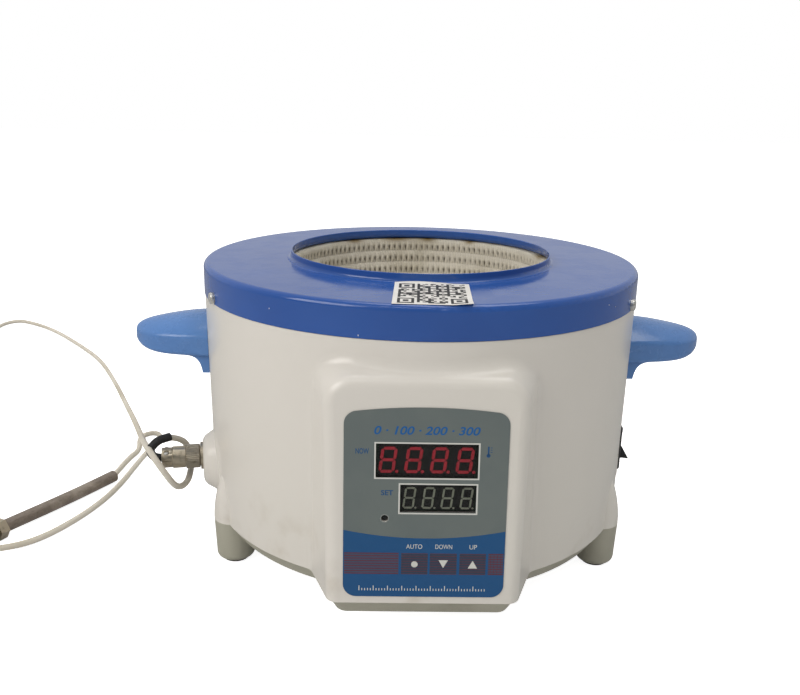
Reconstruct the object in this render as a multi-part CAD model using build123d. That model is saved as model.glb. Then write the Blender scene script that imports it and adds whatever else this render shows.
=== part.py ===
"""Round laboratory heating mantle with a digital controller, for a two litre flask.

A moulded casing and base carry a painted sheet cover with a knitted heating bowl under it. The
controller sits in a bulge at the front. Two tongue handles, a rocker switch, a mains inlet and a
screwed socket for the temperature probe are fixed to the casing wall. Millimetres, +Z up, the
controller at -Y. The model is built around the heater's axis and moved at the end, so that the
origin lies under the middle of the appliance, on the bench.
"""
from build123d import *
import math
import os

# Heights above the bench
COVER_TOP = 190.0
SPLIT = 28.7
BASE_BOTTOM = 18.4
PAD_H = 3.0
PAD_PROUD = 1.5

# Sheet cover
COVER_R = 140.0
COVER_T = 1.0
SKIRT_H = 19.0
SHOULDER_R = 3.5
COLLAR_R = 83.6
COLLAR_H = 5.4
COLLAR_FOOT_R = 2.5

# Casing
CASING_R = 137.5
CASING_WALL = 3.0
CASING_DRAFT = 0.85
RIM_CHAMFER = 2.5
REBATE_GAP = 0.3
PAN_LEDGE_Z = 180.0
LEDGE_T = 3.0

# Control bulge
FACE_Y0 = -158.3
FACE_LEAN = 0.08
BULGE_HALF_LOW = 51.0
BULGE_HALF_HIGH = 50.0
BULGE_TOP = 152.0
BULGE_FLARE = 20.0
BULGE_CORNER_R = 16.0
BULGE_EDGE_R = 7.0
BULGE_FOOT_R = 9.0

# Base tray
BASE_STEP = 1.8
BASE_UNDERCUT = 6.9
BASE_WALL = 2.8
BASE_EDGE_R = 3.0
LIP_H = 4.0
LIP_T = 2.0
FOOT_AZ = 64.5
FOOT_PCR = 130.3
FOOT_R_TOP = 13.2
FOOT_R = 12.0
FOOT_EDGE_R = 4.0
FOOT_BULLET_H = 44.0
FOOT_PAD_R = 8.0
VENT_COUNT = 16
VENT_W = 4.0
VENT_L = 26.0
VENT_PCR = 62.0

# Screws
BASE_POST_AZ = 42.0
BASE_POST_PCR = 118.0
BASE_POST_R = 5.5
BASE_POST_TOP = 62.0
COVER_SCREW_AZ = 63.0
COVER_SCREW_Z = 174.5
COVER_SCREW_HEAD_R = 3.5
COVER_SCREW_HEAD_H = 2.4
M3_R, M4_R, M5_R = 1.5, 2.0, 2.5
HOLE_CLEAR = 0.25

# Heater
BOWL_R = 83.6
BOWL_T = 4.0
BOWL_CENTRE_Z = 186.0
BOWL_COURSES = 18
COURSE_H = 1.3
BOWL_KNOT_R = 6.0
BOWL_FLANGE_R = 100.0
PAN_R = 108.0
PAN_T = 1.0
PAN_FLANGE_R = 132.0
LEAD_HOLE_R = 5.0
LEAD_R = 1.5
SOFT_GAP = 0.3
SEAT_GAP = 0.1

# Handles
HANDLE_REACH = 188.5
HANDLE_HALF_W = 28.0
HANDLE_TOP = 152.3
HANDLE_UNDER = 127.2
HANDLE_ROOT_LOW = 115.5
HANDLE_EDGE_H = 13.5
HANDLE_UNDER_R = 3.0
HANDLE_RIDGE_R = 4.0
HANDLE_GUSSET_T = 2.2
HANDLE_GUSSET_R = 11.0
HANDLE_SCREW_L = 18.0
# Along the tongue as a share of its reach: half width, side height, crown height, lift of the underside
HANDLE_TAPER = [
    (0.0, 1.0, 1.0, 1.0, 0.0),
    (0.385, 0.98, 1.0, 0.95, 0.0),
    (0.595, 0.88, 0.96, 0.88, 0.0),
    (0.77, 0.71, 0.9, 0.8, 0.4),
    (0.905, 0.47, 0.84, 0.71, 1.8),
    (1.0, 0.17, 0.76, 0.56, 5.0),
]
HANDLE_SCREW_DY = 14.0
HANDLE_SCREW_Z = 135.5

# Panel, in the face's own plane: u to the right, v up, from PANEL_Z
PANEL_Z = 87.25
FILM_HALF_W = 43.2
FILM_LOW, FILM_SIDE, FILM_HIGH = -54.7, 47.8, 50.8
FILM_CORNER_R = 7.0
FILM_T = 0.4
UPPER_WINDOW = (0.3, 21.9, 53.8, 19.4)
LOWER_WINDOW = (6.5, 1.3, 40.4, 15.7)
PANE_MARGIN = 2.5
PANE_T = 1.5
PANE_LEDGE = 2.0
LED_UV = (-21.3, -10.0)
LED_R = 1.8
KEY_U = (-5.0, 10.3, 26.1)
KEY_V = -35.8
KEY_R = 2.7
KEY_FLANGE_R = 4.0
KEY_TRAVEL = 0.4
KEY_GAP = 0.5
UPPER_MODULE = (50.3, 19.0)
LOWER_MODULE = (38.0, 13.5)
MODULE_T = 8.0
BOARD_T = 1.6
BOARD_HALF_W = 42.0
BOARD_LOW, BOARD_HIGH = -47.0, 46.0
BOARD_POST_U, BOARD_POST_V = 38.0, (-43.0, 42.0)
BOARD_POST_R = 3.2
TACT_SIZE, TACT_H = 6.0, 3.0

# Rocker switch
SWITCH_AZ = 87.0
SWITCH_Z = 64.3
SWITCH_SEAT = 138.5
BEZEL_W, BEZEL_H, BEZEL_T = 25.0, 31.0, 2.0
SWITCH_BODY_W, SWITCH_BODY_H, SWITCH_BODY_D = 21.8, 28.2, 20.0
ROCKER_W, ROCKER_L = 17.0, 22.6
ROCKER_RISE = 4.0
ROCKER_PIVOT = 3.0
ROCKER_VALLEY = 17.0
ROCKER_TILT = 14.0
ROCKER_GAP = 0.35
ROCKER_SWING = 1.5
TRUNNION_R, TRUNNION_L = 1.6, 1.2
PIVOT_CLEAR = 0.05

# Probe socket and plug
SOCKET_AZ = -78.0
SOCKET_Z = 59.5
BOSS_SEAT = 145.5
BOSS_R, BOSS_ROOT_R, BOSS_EDGE_R = 15.0, 23.0, 7.0
BOSS_Z = 56.5
FLANGE_R, FLANGE_T = 9.0, 1.5
SOCKET_R = 6.4
RING_R, RING_L = 7.9, 9.5
BARREL_R, BARREL_L = 7.2, 8.5
CLAMP_R, CLAMP_L = 6.6, 6.5
TURN_GAP = 0.2
CLAMP_SCREW_R, CLAMP_HEAD_R, CLAMP_SCREW_L = 0.9, 1.6, 7.0
CLAMP_SCREW_DX, CLAMP_SCREW_SEAT = 4.3, 4.2

# Mains inlet
INLET_Z = 52.0
INLET_SEAT = 138.4
INLET_FLANGE = (50.0, 24.0, 2.5)
INLET_BODY = (28.0, 20.5, 19.0)
INLET_MOUTH = (24.0, 16.4, 15.0)
INLET_SCREW_DX = 20.0
PIN_PITCH, PIN_SIZE, PIN_L = 7.0, (2.0, 4.0), 13.0

# Power board
POWER_BOARD = (110.0, 70.0, 1.6)
POWER_BOARD_XY = (8.0, 22.0)
POWER_BOARD_Z = 30.0

# Cord and probe
CORD_R = 2.1
SLEEVE_R = 2.8
SLEEVE_GAP = 0.4
PROBE_SLEEVE_R = 4.4
NUT_AF, NUT_T, NUT_GAP = 13.0, 6.5, 2.5
ROD_R, ROD_L = 2.5, 180.0

UP = Vector(0, 0, 1)
LOW = (Align.CENTER, Align.CENTER, Align.MIN)


def casing_r(z, inset=0.0):
    """Outside radius of the casing at a height, less an inset."""
    return CASING_R + (z - SPLIT) * math.tan(math.radians(CASING_DRAFT)) - inset


def face_y(z):
    """Where the leaning front of the bulge stands at a height."""
    return FACE_Y0 + FACE_LEAN * z


def wall_plane(azimuth, reach, z):
    """A plane facing outwards at an azimuth from the front: x along the wall, y up."""
    a = math.radians(azimuth)
    out = Vector(math.sin(a), -math.cos(a), 0)
    return Plane(origin=out * reach + UP * z, x_dir=(math.cos(a), math.sin(a), 0), z_dir=out)


def board_front():
    """Depth of the control board's front behind the panel face."""
    return -PANE_T - 0.5 - MODULE_T


PANEL = Plane(origin=(0, face_y(PANEL_Z), PANEL_Z), x_dir=(1, 0, 0), z_dir=(0, -1, FACE_LEAN))


def polar(azimuth, r):
    a = math.radians(azimuth)
    return r * math.sin(a), -r * math.cos(a)


def box_on(plane, w, h, low, high, u=0.0, v=0.0):
    """A box on a plane, from one depth to another along the plane's normal."""
    return plane * Pos(u, v, low) * Box(w, h, high - low, align=LOW)


def rod_on(plane, r, low, high, u=0.0, v=0.0):
    """A cylinder standing on a plane, from one depth to another along the plane's normal."""
    return plane * Pos(u, v, low) * Cylinder(r, high - low, align=LOW)


def turned(points):
    """A solid of revolution about +Z from (radius, height) corners."""
    return revolve(Plane.XZ * make_face(Polyline(*points, close=True)), Axis.Z)


def above(z):
    return Pos(0, 0, z) * Box(800, 800, 800, align=LOW)


def pan_head(plane, r_shank, r_head, h_head, length, u=0.0, v=0.0, seat=0.0):
    """A pan-head screw: its head stands out of the plane and its shank goes in."""
    head = rod_on(plane, r_head, seat, seat + h_head, u, v)
    head = fillet(head.edges().filter_by(GeomType.CIRCLE).sort_by(plane_axis(plane))[-1], h_head * 0.45)
    return head + rod_on(plane, r_shank, seat - length, seat, u, v)


def plane_axis(plane):
    return Axis(plane.origin, plane.z_dir)


# Casing ---------------------------------------------------------------------------------------


def bulge_section(y, inset):
    """Front view of the bulge at one depth: a trapezoid with two round corners."""
    flare = math.tan(math.radians(BULGE_FLARE))
    low = BULGE_HALF_LOW + (y - face_y(SPLIT)) * flare - inset
    high = BULGE_HALF_HIGH + (y - face_y(SPLIT)) * flare - inset
    top = BULGE_TOP + (y - face_y(BULGE_TOP)) * flare - inset
    floor = SPLIT - 12
    sketch = make_face(Polyline((-low, floor), (-high, top), (high, top), (low, floor), close=True))
    sketch = fillet(sketch.vertices().sort_by(Axis.Y)[-2:], BULGE_CORNER_R - inset)
    return Plane(origin=(0, y, 0), x_dir=(1, 0, 0), z_dir=(0, -1, 0)) * sketch


def bulge_form(inset):
    """The control bulge as a solid with its front rim rounded."""
    body = loft([bulge_section(-100, inset), bulge_section(FACE_Y0 - 6, inset)], ruled=True)
    face = PANEL.offset(-inset)
    body = split(body, bisect_by=face, keep=Keep.BOTTOM)
    front = max(body.faces(), key=lambda f: f.center().dot(face.z_dir))
    rim = front.edges().sort_by(Axis.Z)[1:]
    return fillet(rim, BULGE_EDGE_R - inset * 0.8)


def casing_form(inset, foot_fillet):
    """The casing's outside, or the same form set in by the wall."""
    top = COVER_TOP - COVER_T
    low = SPLIT - 10
    drum = Pos(0, 0, low) * Cone(casing_r(low, inset), casing_r(top, inset), top - low, align=LOW)
    form = drum + bulge_form(inset)
    if foot_fillet:
        seam = [
            e
            for e in form.edges()
            if low + 0.5 < (e @ 0.5).Z < top - 1
            and (e @ 0.5).Y < -100
            and abs(math.hypot((e @ 0.5).X, (e @ 0.5).Y) - casing_r((e @ 0.5).Z, inset)) < 0.02
        ]
        form = fillet(seam, foot_fillet)
    return form


def foot_places():
    return [(sx * FOOT_AZ if sy else sx * (180 - FOOT_AZ)) for sx in (-1, 1) for sy in (0, 1)]


def foot_fairing(azimuth):
    """The bullet-shaped fairing on the casing above a foot."""
    x, y = polar(azimuth, FOOT_PCR)
    z0 = SPLIT
    side = Line((FOOT_R_TOP, z0 - 5), (FOOT_R_TOP, z0))
    nose = TangentArc((FOOT_R_TOP, z0), (0, z0 + FOOT_BULLET_H), tangent=(0, 1))
    close = Polyline((0, z0 + FOOT_BULLET_H), (0, z0 - 5), (FOOT_R_TOP, z0 - 5))
    return Pos(x, y, 0) * revolve(Plane.XZ * make_face(side + nose + close), Axis.Z)


def socket_boss():
    plane = wall_plane(SOCKET_AZ, BOSS_SEAT, BOSS_Z)
    boss = plane * Pos(0, 0, -22) * Cone(BOSS_ROOT_R + 6, BOSS_R, 22, align=LOW)
    rim = boss.edges().filter_by(GeomType.CIRCLE).sort_by(plane_axis(plane))[-1]
    return fillet(rim, BOSS_EDGE_R)


def make_housing():
    """Moulded casing: one shell with the bulge, socket boss, pads, foot fairings, posts and ledge."""
    top = COVER_TOP - COVER_T
    outer = casing_form(0, BULGE_FOOT_R)
    for azimuth in foot_places():
        outer += foot_fairing(azimuth)
    outer += socket_boss()
    outer += box_on(wall_plane(SWITCH_AZ, SWITCH_SEAT, SWITCH_Z), 30, 38, -14, 0)
    outer += box_on(wall_plane(180, INLET_SEAT, INLET_Z), 58, 34, -16, 0)
    outer &= above(SPLIT)
    # Rebate under the cover's skirt
    rebate_z, rebate_r = COVER_TOP - SKIRT_H - REBATE_GAP, COVER_R - COVER_T - SOFT_GAP
    around = Cylinder(2 * rebate_r, top, align=LOW) - Cylinder(rebate_r, top, align=LOW)
    outer -= Pos(0, 0, rebate_z) * around
    rim = [e for e in outer.edges() if abs((e @ 0.5).Z - top) < 0.01 and e.geom_type == GeomType.CIRCLE]
    outer = chamfer(rim, RIM_CHAMFER)
    shell = outer - casing_form(CASING_WALL, 0)
    shell -= Pos(0, 0, top - 4) * Cylinder(casing_r(top, CASING_WALL), 8, align=LOW)
    # Ledge that carries the pan's flange
    ledge = Pos(0, 0, PAN_LEDGE_Z - LEDGE_T) * Cylinder(casing_r(PAN_LEDGE_Z, 1), LEDGE_T, align=LOW)
    ledge -= Pos(0, 0, PAN_LEDGE_Z - LEDGE_T) * Cylinder(PAN_FLANGE_R - 9, LEDGE_T, align=LOW)
    shell += ledge
    # Posts for the base screws, each on a rib to the wall
    for sx in (-1, 1):
        for azimuth in (sx * BASE_POST_AZ, sx * (180 - BASE_POST_AZ)):
            x, y = polar(azimuth, BASE_POST_PCR)
            height = BASE_POST_TOP - SPLIT
            post = Pos(x, y, SPLIT) * Cylinder(BASE_POST_R, height, align=LOW)
            reach = casing_r(SPLIT, 1) - BASE_POST_PCR
            rib_z = SPLIT + LIP_H + 1
            rib = box_on(wall_plane(azimuth, BASE_POST_PCR, rib_z + 10), 2.4, 20, 0, reach)
            shell += post + rib
            shell -= Pos(x, y, SPLIT) * Cylinder(M4_R, height - 4, align=LOW)
    # Cover screw seats inside the wall
    for azimuth in cover_screw_places():
        seat = wall_plane(azimuth, casing_r(COVER_SCREW_Z), COVER_SCREW_Z - 1.5)
        shell += box_on(seat, 9, 9, -CASING_WALL - 4, -1)
        shell -= rod_on(seat, M3_R, -9, 1, v=1.5)
    # Panel: pane rebate, window opening, key and lamp holes, board posts
    for window in (UPPER_WINDOW, LOWER_WINDOW):
        u, v, w, h = window
        side = 2 * PANE_MARGIN
        shell -= box_on(PANEL, w + side, h + side, -PANE_T, 1, u, v)
        side -= 2 * PANE_LEDGE
        shell -= box_on(PANEL, w + side, h + side, -CASING_WALL - 1, 1, u, v)
    for u in KEY_U:
        shell -= rod_on(PANEL, KEY_R + HOLE_CLEAR, -CASING_WALL - 1, 1, u, KEY_V)
    shell -= rod_on(PANEL, LED_R + HOLE_CLEAR, -CASING_WALL - 1, 1, *LED_UV)
    for u in (-BOARD_POST_U, BOARD_POST_U):
        for v in BOARD_POST_V:
            post = rod_on(PANEL, BOARD_POST_R, board_front(), -CASING_WALL + 0.5, u, v)
            shell += post - rod_on(PANEL, 1.25, board_front(), board_front() + 6, u, v)
    # Holes for the switch, socket, inlet and handle screws
    switch = wall_plane(SWITCH_AZ, SWITCH_SEAT, SWITCH_Z)
    shell -= box_on(switch, SWITCH_BODY_W + 0.4, SWITCH_BODY_H + 0.4, -16, 1)
    socket = wall_plane(SOCKET_AZ, BOSS_SEAT, SOCKET_Z)
    shell -= rod_on(socket, SOCKET_R + 0.2, -24, 1)
    shell -= rod_on(wall_plane(SOCKET_AZ, BOSS_SEAT, BOSS_Z), BOSS_R - CASING_WALL, -24, -CASING_WALL)
    inlet = wall_plane(180, INLET_SEAT, INLET_Z)
    shell -= box_on(inlet, INLET_BODY[0] + 0.4, INLET_BODY[1] + 0.4, -20, 1)
    for dx in (-INLET_SCREW_DX, INLET_SCREW_DX):
        shell -= rod_on(inlet, 1.25, -12, 1, dx)
    for side in (-90, 90):
        grip = wall_plane(side, casing_r(HANDLE_SCREW_Z), HANDLE_SCREW_Z)
        for dy in (-HANDLE_SCREW_DY, HANDLE_SCREW_DY):
            shell -= rod_on(grip, M5_R + HOLE_CLEAR, -12, 4, dy)
    return shell


def cover_screw_places():
    return [sx * a for sx in (-1, 1) for a in (COVER_SCREW_AZ, 180 - COVER_SCREW_AZ)]


# Base -----------------------------------------------------------------------------------------


def base_outline(z, inset):
    """Plan outline of the drum and bulge together, set in, at a height."""
    flare = math.tan(math.radians(BULGE_FLARE))
    front = face_y(SPLIT) + inset
    half = BULGE_HALF_LOW - inset * (1 - flare * 0.5)
    root = -100.0
    wide = half + (root - front) * flare
    nose = make_face(Polyline((-half, front), (-wide, root), (wide, root), (half, front), close=True))
    sketch = Circle(CASING_R - inset) + nose
    corners = sketch.vertices().filter_by(lambda p: p.Y < -110)
    tips = corners.sort_by(Axis.Y)[:2]
    sketch = fillet(tips, BULGE_EDGE_R)
    front_half = sketch.vertices().filter_by(lambda p: p.Y < -60)
    roots = [p for p in front_half if abs(math.hypot(p.X, p.Y) - CASING_R + inset) < 0.01]
    sketch = fillet(roots, BULGE_FOOT_R)
    return Pos(0, 0, z) * sketch


def make_base():
    """Moulded base tray with four hollow feet, a locating lip and vent slots in its floor."""
    body = loft([base_outline(SPLIT, BASE_STEP), base_outline(BASE_BOTTOM, BASE_UNDERCUT)], ruled=True)
    under = body.faces().sort_by(Axis.Z)[0]
    body = fillet(under.edges(), BASE_EDGE_R)
    floor = BASE_BOTTOM + BASE_WALL
    for azimuth in foot_places():
        x, y = polar(azimuth, FOOT_PCR)
        height = SPLIT - PAD_PROUD
        foot = Pos(x, y, PAD_PROUD) * Cone(FOOT_R, FOOT_R_TOP, height, align=LOW)
        foot = fillet(foot.edges().filter_by(GeomType.CIRCLE).sort_by(Axis.Z)[0], FOOT_EDGE_R)
        body += foot
    inset = BASE_UNDERCUT + BASE_WALL
    cavity = loft([base_outline(SPLIT, inset - 2), base_outline(floor, inset)], ruled=True)
    body -= cavity
    for azimuth in foot_places():
        x, y = polar(azimuth, FOOT_PCR)
        bottom = PAD_H + BASE_WALL
        body -= Pos(x, y, bottom) * Cylinder(FOOT_R - BASE_WALL, SPLIT - bottom, align=LOW)
        body -= Pos(x, y, 0) * Cylinder(FOOT_PAD_R, PAD_H, align=LOW)
    # Locating lip inside the casing wall
    lip_out = CASING_WALL + SOFT_GAP + 0.1
    lip = extrude(base_outline(SPLIT - 2, lip_out), 2 + LIP_H)
    body += lip - extrude(base_outline(SPLIT - 2, lip_out + LIP_T), 2 + LIP_H)
    for sx in (-1, 1):
        for azimuth in (sx * BASE_POST_AZ, sx * (180 - BASE_POST_AZ)):
            x, y = polar(azimuth, BASE_POST_PCR)
            body += Pos(x, y, BASE_BOTTOM) * Cylinder(BASE_POST_R + 1, SPLIT - BASE_BOTTOM, align=LOW)
            clear = Pos(x, y, SPLIT) * Cylinder(BASE_POST_R + 1, LIP_H, align=LOW)
            body -= clear
            body -= Pos(x, y, BASE_BOTTOM) * Cylinder(M4_R + HOLE_CLEAR, SPLIT - BASE_BOTTOM, align=LOW)
            body -= Pos(x, y, BASE_BOTTOM) * Cylinder(2 * M4_R + 0.6, 3, align=LOW)
    for i in range(VENT_COUNT):
        turn = 360 * (i + 0.5) / VENT_COUNT
        slot = SlotOverall(VENT_L, VENT_W)
        body -= Rot(0, 0, turn) * Pos(VENT_PCR, 0, BASE_BOTTOM) * extrude(slot, BASE_WALL)
    for x, y in power_posts():
        body += Pos(x, y, floor) * Cylinder(3, POWER_BOARD_Z - floor, align=LOW)
        body -= Pos(x, y, floor) * Cylinder(1.25, POWER_BOARD_Z - floor, align=LOW)
    return body


def power_posts():
    cx, cy = POWER_BOARD_XY
    dx, dy = POWER_BOARD[0] / 2 - 5, POWER_BOARD[1] / 2 - 5
    return [(cx + sx * dx, cy + sy * dy) for sx in (-1, 1) for sy in (-1, 1)]


def make_foot_pads():
    return [Pos(*polar(a, FOOT_PCR), 0) * Cylinder(FOOT_PAD_R, PAD_H, align=LOW) for a in foot_places()]


def make_base_screws():
    out = []
    for sx in (-1, 1):
        for azimuth in (sx * BASE_POST_AZ, sx * (180 - BASE_POST_AZ)):
            x, y = polar(azimuth, BASE_POST_PCR)
            plane = Plane(origin=(x, y, BASE_BOTTOM + 3), z_dir=(0, 0, -1))
            out.append(pan_head(plane, M4_R, 2 * M4_R, 2.6, 26))
    return out


# Cover and heater -----------------------------------------------------------------------------


def make_top_cover():
    """One spun and pressed sheet: skirt, shoulder, flat top and an upturned collar."""
    r, t, top = COVER_R, COVER_T, COVER_TOP
    low, collar = top - SKIRT_H, top + COLLAR_H
    points = [
        (r - t, low),
        (r, low),
        (r, top),
        (COLLAR_R + t, top),
        (COLLAR_R + t, collar),
        (COLLAR_R, collar),
        (COLLAR_R, top - t),
        (r - t, top - t),
    ]
    sheet = make_face(Polyline(*points, close=True))

    def corner(x, y):
        return min(sheet.vertices(), key=lambda p: math.hypot(p.X - x, p.Y - y))

    for x, y, radius in (
        (r, top, SHOULDER_R),
        (r - t, top - t, SHOULDER_R - t),
        (COLLAR_R + t, top, COLLAR_FOOT_R),
        (COLLAR_R, top - t, COLLAR_FOOT_R + t),
        (COLLAR_R + t, collar, t * 0.45),
        (COLLAR_R, collar, t * 0.45),
    ):
        sheet = fillet(corner(x, y), radius)
    cover = revolve(Plane.XZ * sheet, Axis.Z)
    for azimuth in cover_screw_places():
        cover -= rod_on(wall_plane(azimuth, r, COVER_SCREW_Z), M3_R + HOLE_CLEAR, -4, 2)
    return cover


def make_cover_screws():
    return [
        pan_head(wall_plane(a, COVER_R, COVER_SCREW_Z), M3_R, COVER_SCREW_HEAD_R, COVER_SCREW_HEAD_H, 7)
        for a in cover_screw_places()
    ]


def bowl_point(r, angle):
    """A point of the bowl's section: angle 0 at the rim, 90 at the bottom."""
    a = math.radians(angle)
    return r * math.cos(a), BOWL_CENTRE_Z - r * math.sin(a)


def make_heating_bowl():
    """Knitted heating bowl: round courses inside, a smooth back and a flange at the rim."""
    rim = COVER_TOP - COVER_T
    flange_low = rim - BOWL_T + 1
    last = math.degrees(math.acos(BOWL_KNOT_R / BOWL_R))
    step = last / BOWL_COURSES
    nodes = [bowl_point(BOWL_R, i * step) for i in range(BOWL_COURSES + 1)]
    crests = [bowl_point(BOWL_R - COURSE_H, (i + 0.5) * step) for i in range(BOWL_COURSES)]
    section = [(BOWL_R, rim), nodes[0]]
    for crest, node in zip(crests, nodes[1:]):
        section += [crest, node]
    section += [(0, nodes[-1][1]), (0, BOWL_CENTRE_Z - BOWL_R - BOWL_T)]
    back = [bowl_point(BOWL_R + BOWL_T, a) for a in range(84, 0, -12)]
    section += back + [(BOWL_R + BOWL_T, flange_low), (BOWL_FLANGE_R, flange_low), (BOWL_FLANGE_R, rim)]
    return turned(section)


def dome(r, centre_z, top_z):
    """A solid bowl form: a half ball with a drum on it up to a height."""
    ball = Pos(0, 0, centre_z) * Sphere(r)
    ball &= Pos(0, 0, centre_z) * Box(4 * r, 4 * r, 4 * r, align=(Align.CENTER, Align.CENTER, Align.MAX))
    return ball + Pos(0, 0, centre_z) * Cylinder(r, top_z - centre_z, align=LOW) if top_z > centre_z else ball


def lead_holes(r):
    return Cylinder(r, 2 * BOWL_CENTRE_Z, align=(Align.CENTER, Align.CENTER, Align.CENTER))


def make_inner_pan():
    """Spun aluminium pan whose flange hangs on the casing's ledge."""
    z = PAN_LEDGE_Z
    pan = dome(PAN_R, z, z) - dome(PAN_R - PAN_T, z, z)
    flange = Cylinder(PAN_FLANGE_R, PAN_T, align=LOW) - Cylinder(PAN_R - PAN_T, PAN_T, align=LOW)
    pan += Pos(0, 0, z) * flange
    return pan - Pos(0, 0, z - PAN_R) * Cylinder(LEAD_HOLE_R, 8, align=LOW)


def make_insulation():
    """Mineral wool between the heating bowl and the pan."""
    top = COVER_TOP - COVER_T - BOWL_T + 1 - SOFT_GAP
    z = PAN_LEDGE_Z
    wool = dome(PAN_R - PAN_T - SOFT_GAP, z, z)
    brim = Pos(0, 0, z + PAN_T + SOFT_GAP) * Cylinder(PAN_FLANGE_R - 2, top - z - PAN_T - SOFT_GAP, align=LOW)
    neck = Pos(0, 0, z) * Cylinder(PAN_R - PAN_T - SOFT_GAP, 3, align=LOW)
    wool = wool + brim + neck
    wool -= dome(BOWL_R + BOWL_T + SOFT_GAP, BOWL_CENTRE_Z, top + 5)
    return wool - lead_holes(LEAD_HOLE_R)


# Handles --------------------------------------------------------------------------------------


def tongue_section(x, half, edge, crown, under):
    """Cross-section of the tongue: flat underside, upright sides and a crowned top."""
    r = min(HANDLE_UNDER_R, half * 0.4)
    low = Line((-half + r, under), (half - r, under))
    right = RadiusArc((half - r, under), (half, under + r), -r)
    side = Line((half, under + r), (half, edge))
    top = ThreePointArc((half, edge), (0, crown), (-half, edge))
    other = Line((-half, edge), (-half, under + r))
    left = RadiusArc((-half, under + r), (-half + r, under), -r)
    sketch = make_face(low + right + side + top + other + left)
    return Plane(origin=(x, 0, 0), x_dir=(0, 1, 0), z_dir=(1, 0, 0)) * sketch


def make_handle(side):
    """Tongue handle with a crowned top and a curved gusset down the casing wall."""
    root = casing_r(HANDLE_UNDER) - 12
    reach, w, under = HANDLE_REACH - root, HANDLE_HALF_W, HANDLE_UNDER
    thick, crown = HANDLE_EDGE_H, HANDLE_TOP - HANDLE_UNDER
    sections = []
    for along, width, sides, height, lift in HANDLE_TAPER:
        sections.append(
            tongue_section(
                root + reach * along,
                w * width,
                under + thick * sides,
                under + crown * height,
                under + lift,
            )
        )
    body = loft(sections)
    ridge = [e for e in body.edges() if e.length > reach * 0.6 and (e @ 0.5).Z > under + thick * 0.7]
    body = fillet(ridge, HANDLE_RIDGE_R)
    foot = casing_r(HANDLE_UNDER) + HANDLE_GUSSET_T
    heel = foot + HANDLE_GUSSET_R
    ends = ((-1, 0), (-0.15, -1))
    curve = Spline((heel, under), (foot + 2.4, under - 4), (foot, HANDLE_ROOT_LOW), tangents=ends)
    inner = [(foot, HANDLE_ROOT_LOW), (root, HANDLE_ROOT_LOW), (root, under + 2)]
    rest = Polyline(*inner, (heel, under + 2), (heel, under))
    body += extrude(Plane.XZ * make_face(curve + rest), w - HANDLE_UNDER_R, both=True)
    wall = Cone(casing_r(SPLIT, -SEAT_GAP), casing_r(COVER_TOP, -SEAT_GAP), COVER_TOP - SPLIT, align=LOW)
    body -= Pos(0, 0, SPLIT) * wall
    plane = wall_plane(90, casing_r(HANDLE_SCREW_Z), HANDLE_SCREW_Z)
    for dy in (-HANDLE_SCREW_DY, HANDLE_SCREW_DY):
        body -= rod_on(plane, M5_R, -1, HANDLE_SCREW_L - 4, dy)
    return body if side > 0 else Rot(0, 0, 180) * body


def make_handle_screws():
    """Four screws that hold the handles from inside the casing wall."""
    out = []
    for side in (-90, 90):
        reach = casing_r(HANDLE_SCREW_Z, CASING_WALL)
        for dy in (-HANDLE_SCREW_DY, HANDLE_SCREW_DY):
            # The wall is curved, so each head seats on the chord where it touches first
            seat = math.sqrt(reach**2 - (HANDLE_SCREW_DY + 1.9 * M5_R) ** 2) - SEAT_GAP
            plane = wall_plane(side, seat, HANDLE_SCREW_Z)
            flipped = Plane(origin=plane.origin + plane.x_dir * dy, x_dir=plane.x_dir, z_dir=-plane.z_dir)
            out.append(pan_head(flipped, M5_R, 1.9 * M5_R, 3, HANDLE_SCREW_L))
    return out


# Panel ----------------------------------------------------------------------------------------


def make_panel_film():
    """Printed plastic film on the face: arched top, round corners, two windows and a lamp hole."""
    w, low, side, high = FILM_HALF_W, FILM_LOW, FILM_SIDE, FILM_HIGH
    sides = Polyline((-w, side), (-w, low), (w, low), (w, side))
    film = make_face(sides + ThreePointArc((w, side), (0, high), (-w, side)))
    film = fillet(film.vertices(), FILM_CORNER_R)
    for u, v, width, height in (UPPER_WINDOW, LOWER_WINDOW):
        film -= Pos(u, v) * Rectangle(width, height)
    film -= Pos(*LED_UV) * Circle(LED_R + 0.4)
    return PANEL * extrude(film, FILM_T)


def make_display_pane():
    """Smoked acrylic pane in the face's rebate, one stepped piece behind both windows."""
    pane = Sketch()
    for u, v, w, h in (UPPER_WINDOW, LOWER_WINDOW):
        side = 2 * (PANE_MARGIN - SEAT_GAP)
        pane += Pos(u, v) * Rectangle(w + side, h + side)
    return PANEL * Pos(0, 0, -PANE_T) * extrude(pane, PANE_T)


def make_display(window, module):
    """Four-digit display module with its pins through the board."""
    u, v, _, _ = window
    w, h = module
    back = board_front()
    body = box_on(PANEL, w, h, back, back + MODULE_T, u, v)
    digit = w / 4
    for i in range(4):
        at = u + (i - 1.5) * digit
        body -= box_on(PANEL, digit * 0.62, h * 0.72, back + MODULE_T - 0.3, back + MODULE_T + 1, at, v)
    for row in (-1, 1):
        body += box_on(PANEL, w * 0.5, 0.6, back - BOARD_T - 1.2, back, u, v + row * (h / 2 - 2))
    return body


def board_holes():
    holes = []
    low, high = board_front() - 9, board_front() + 1
    for window, module in ((UPPER_WINDOW, UPPER_MODULE), (LOWER_WINDOW, LOWER_MODULE)):
        for row in (-1, 1):
            v = window[1] + row * (module[1] / 2 - 2)
            holes.append(box_on(PANEL, module[0] * 0.5 + 0.4, 1.0, low, high, window[0], v))
    for u in (-BOARD_POST_U, BOARD_POST_U):
        for v in BOARD_POST_V:
            holes.append(rod_on(PANEL, M3_R + 0.1, low, high, u, v))
    return holes


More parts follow.
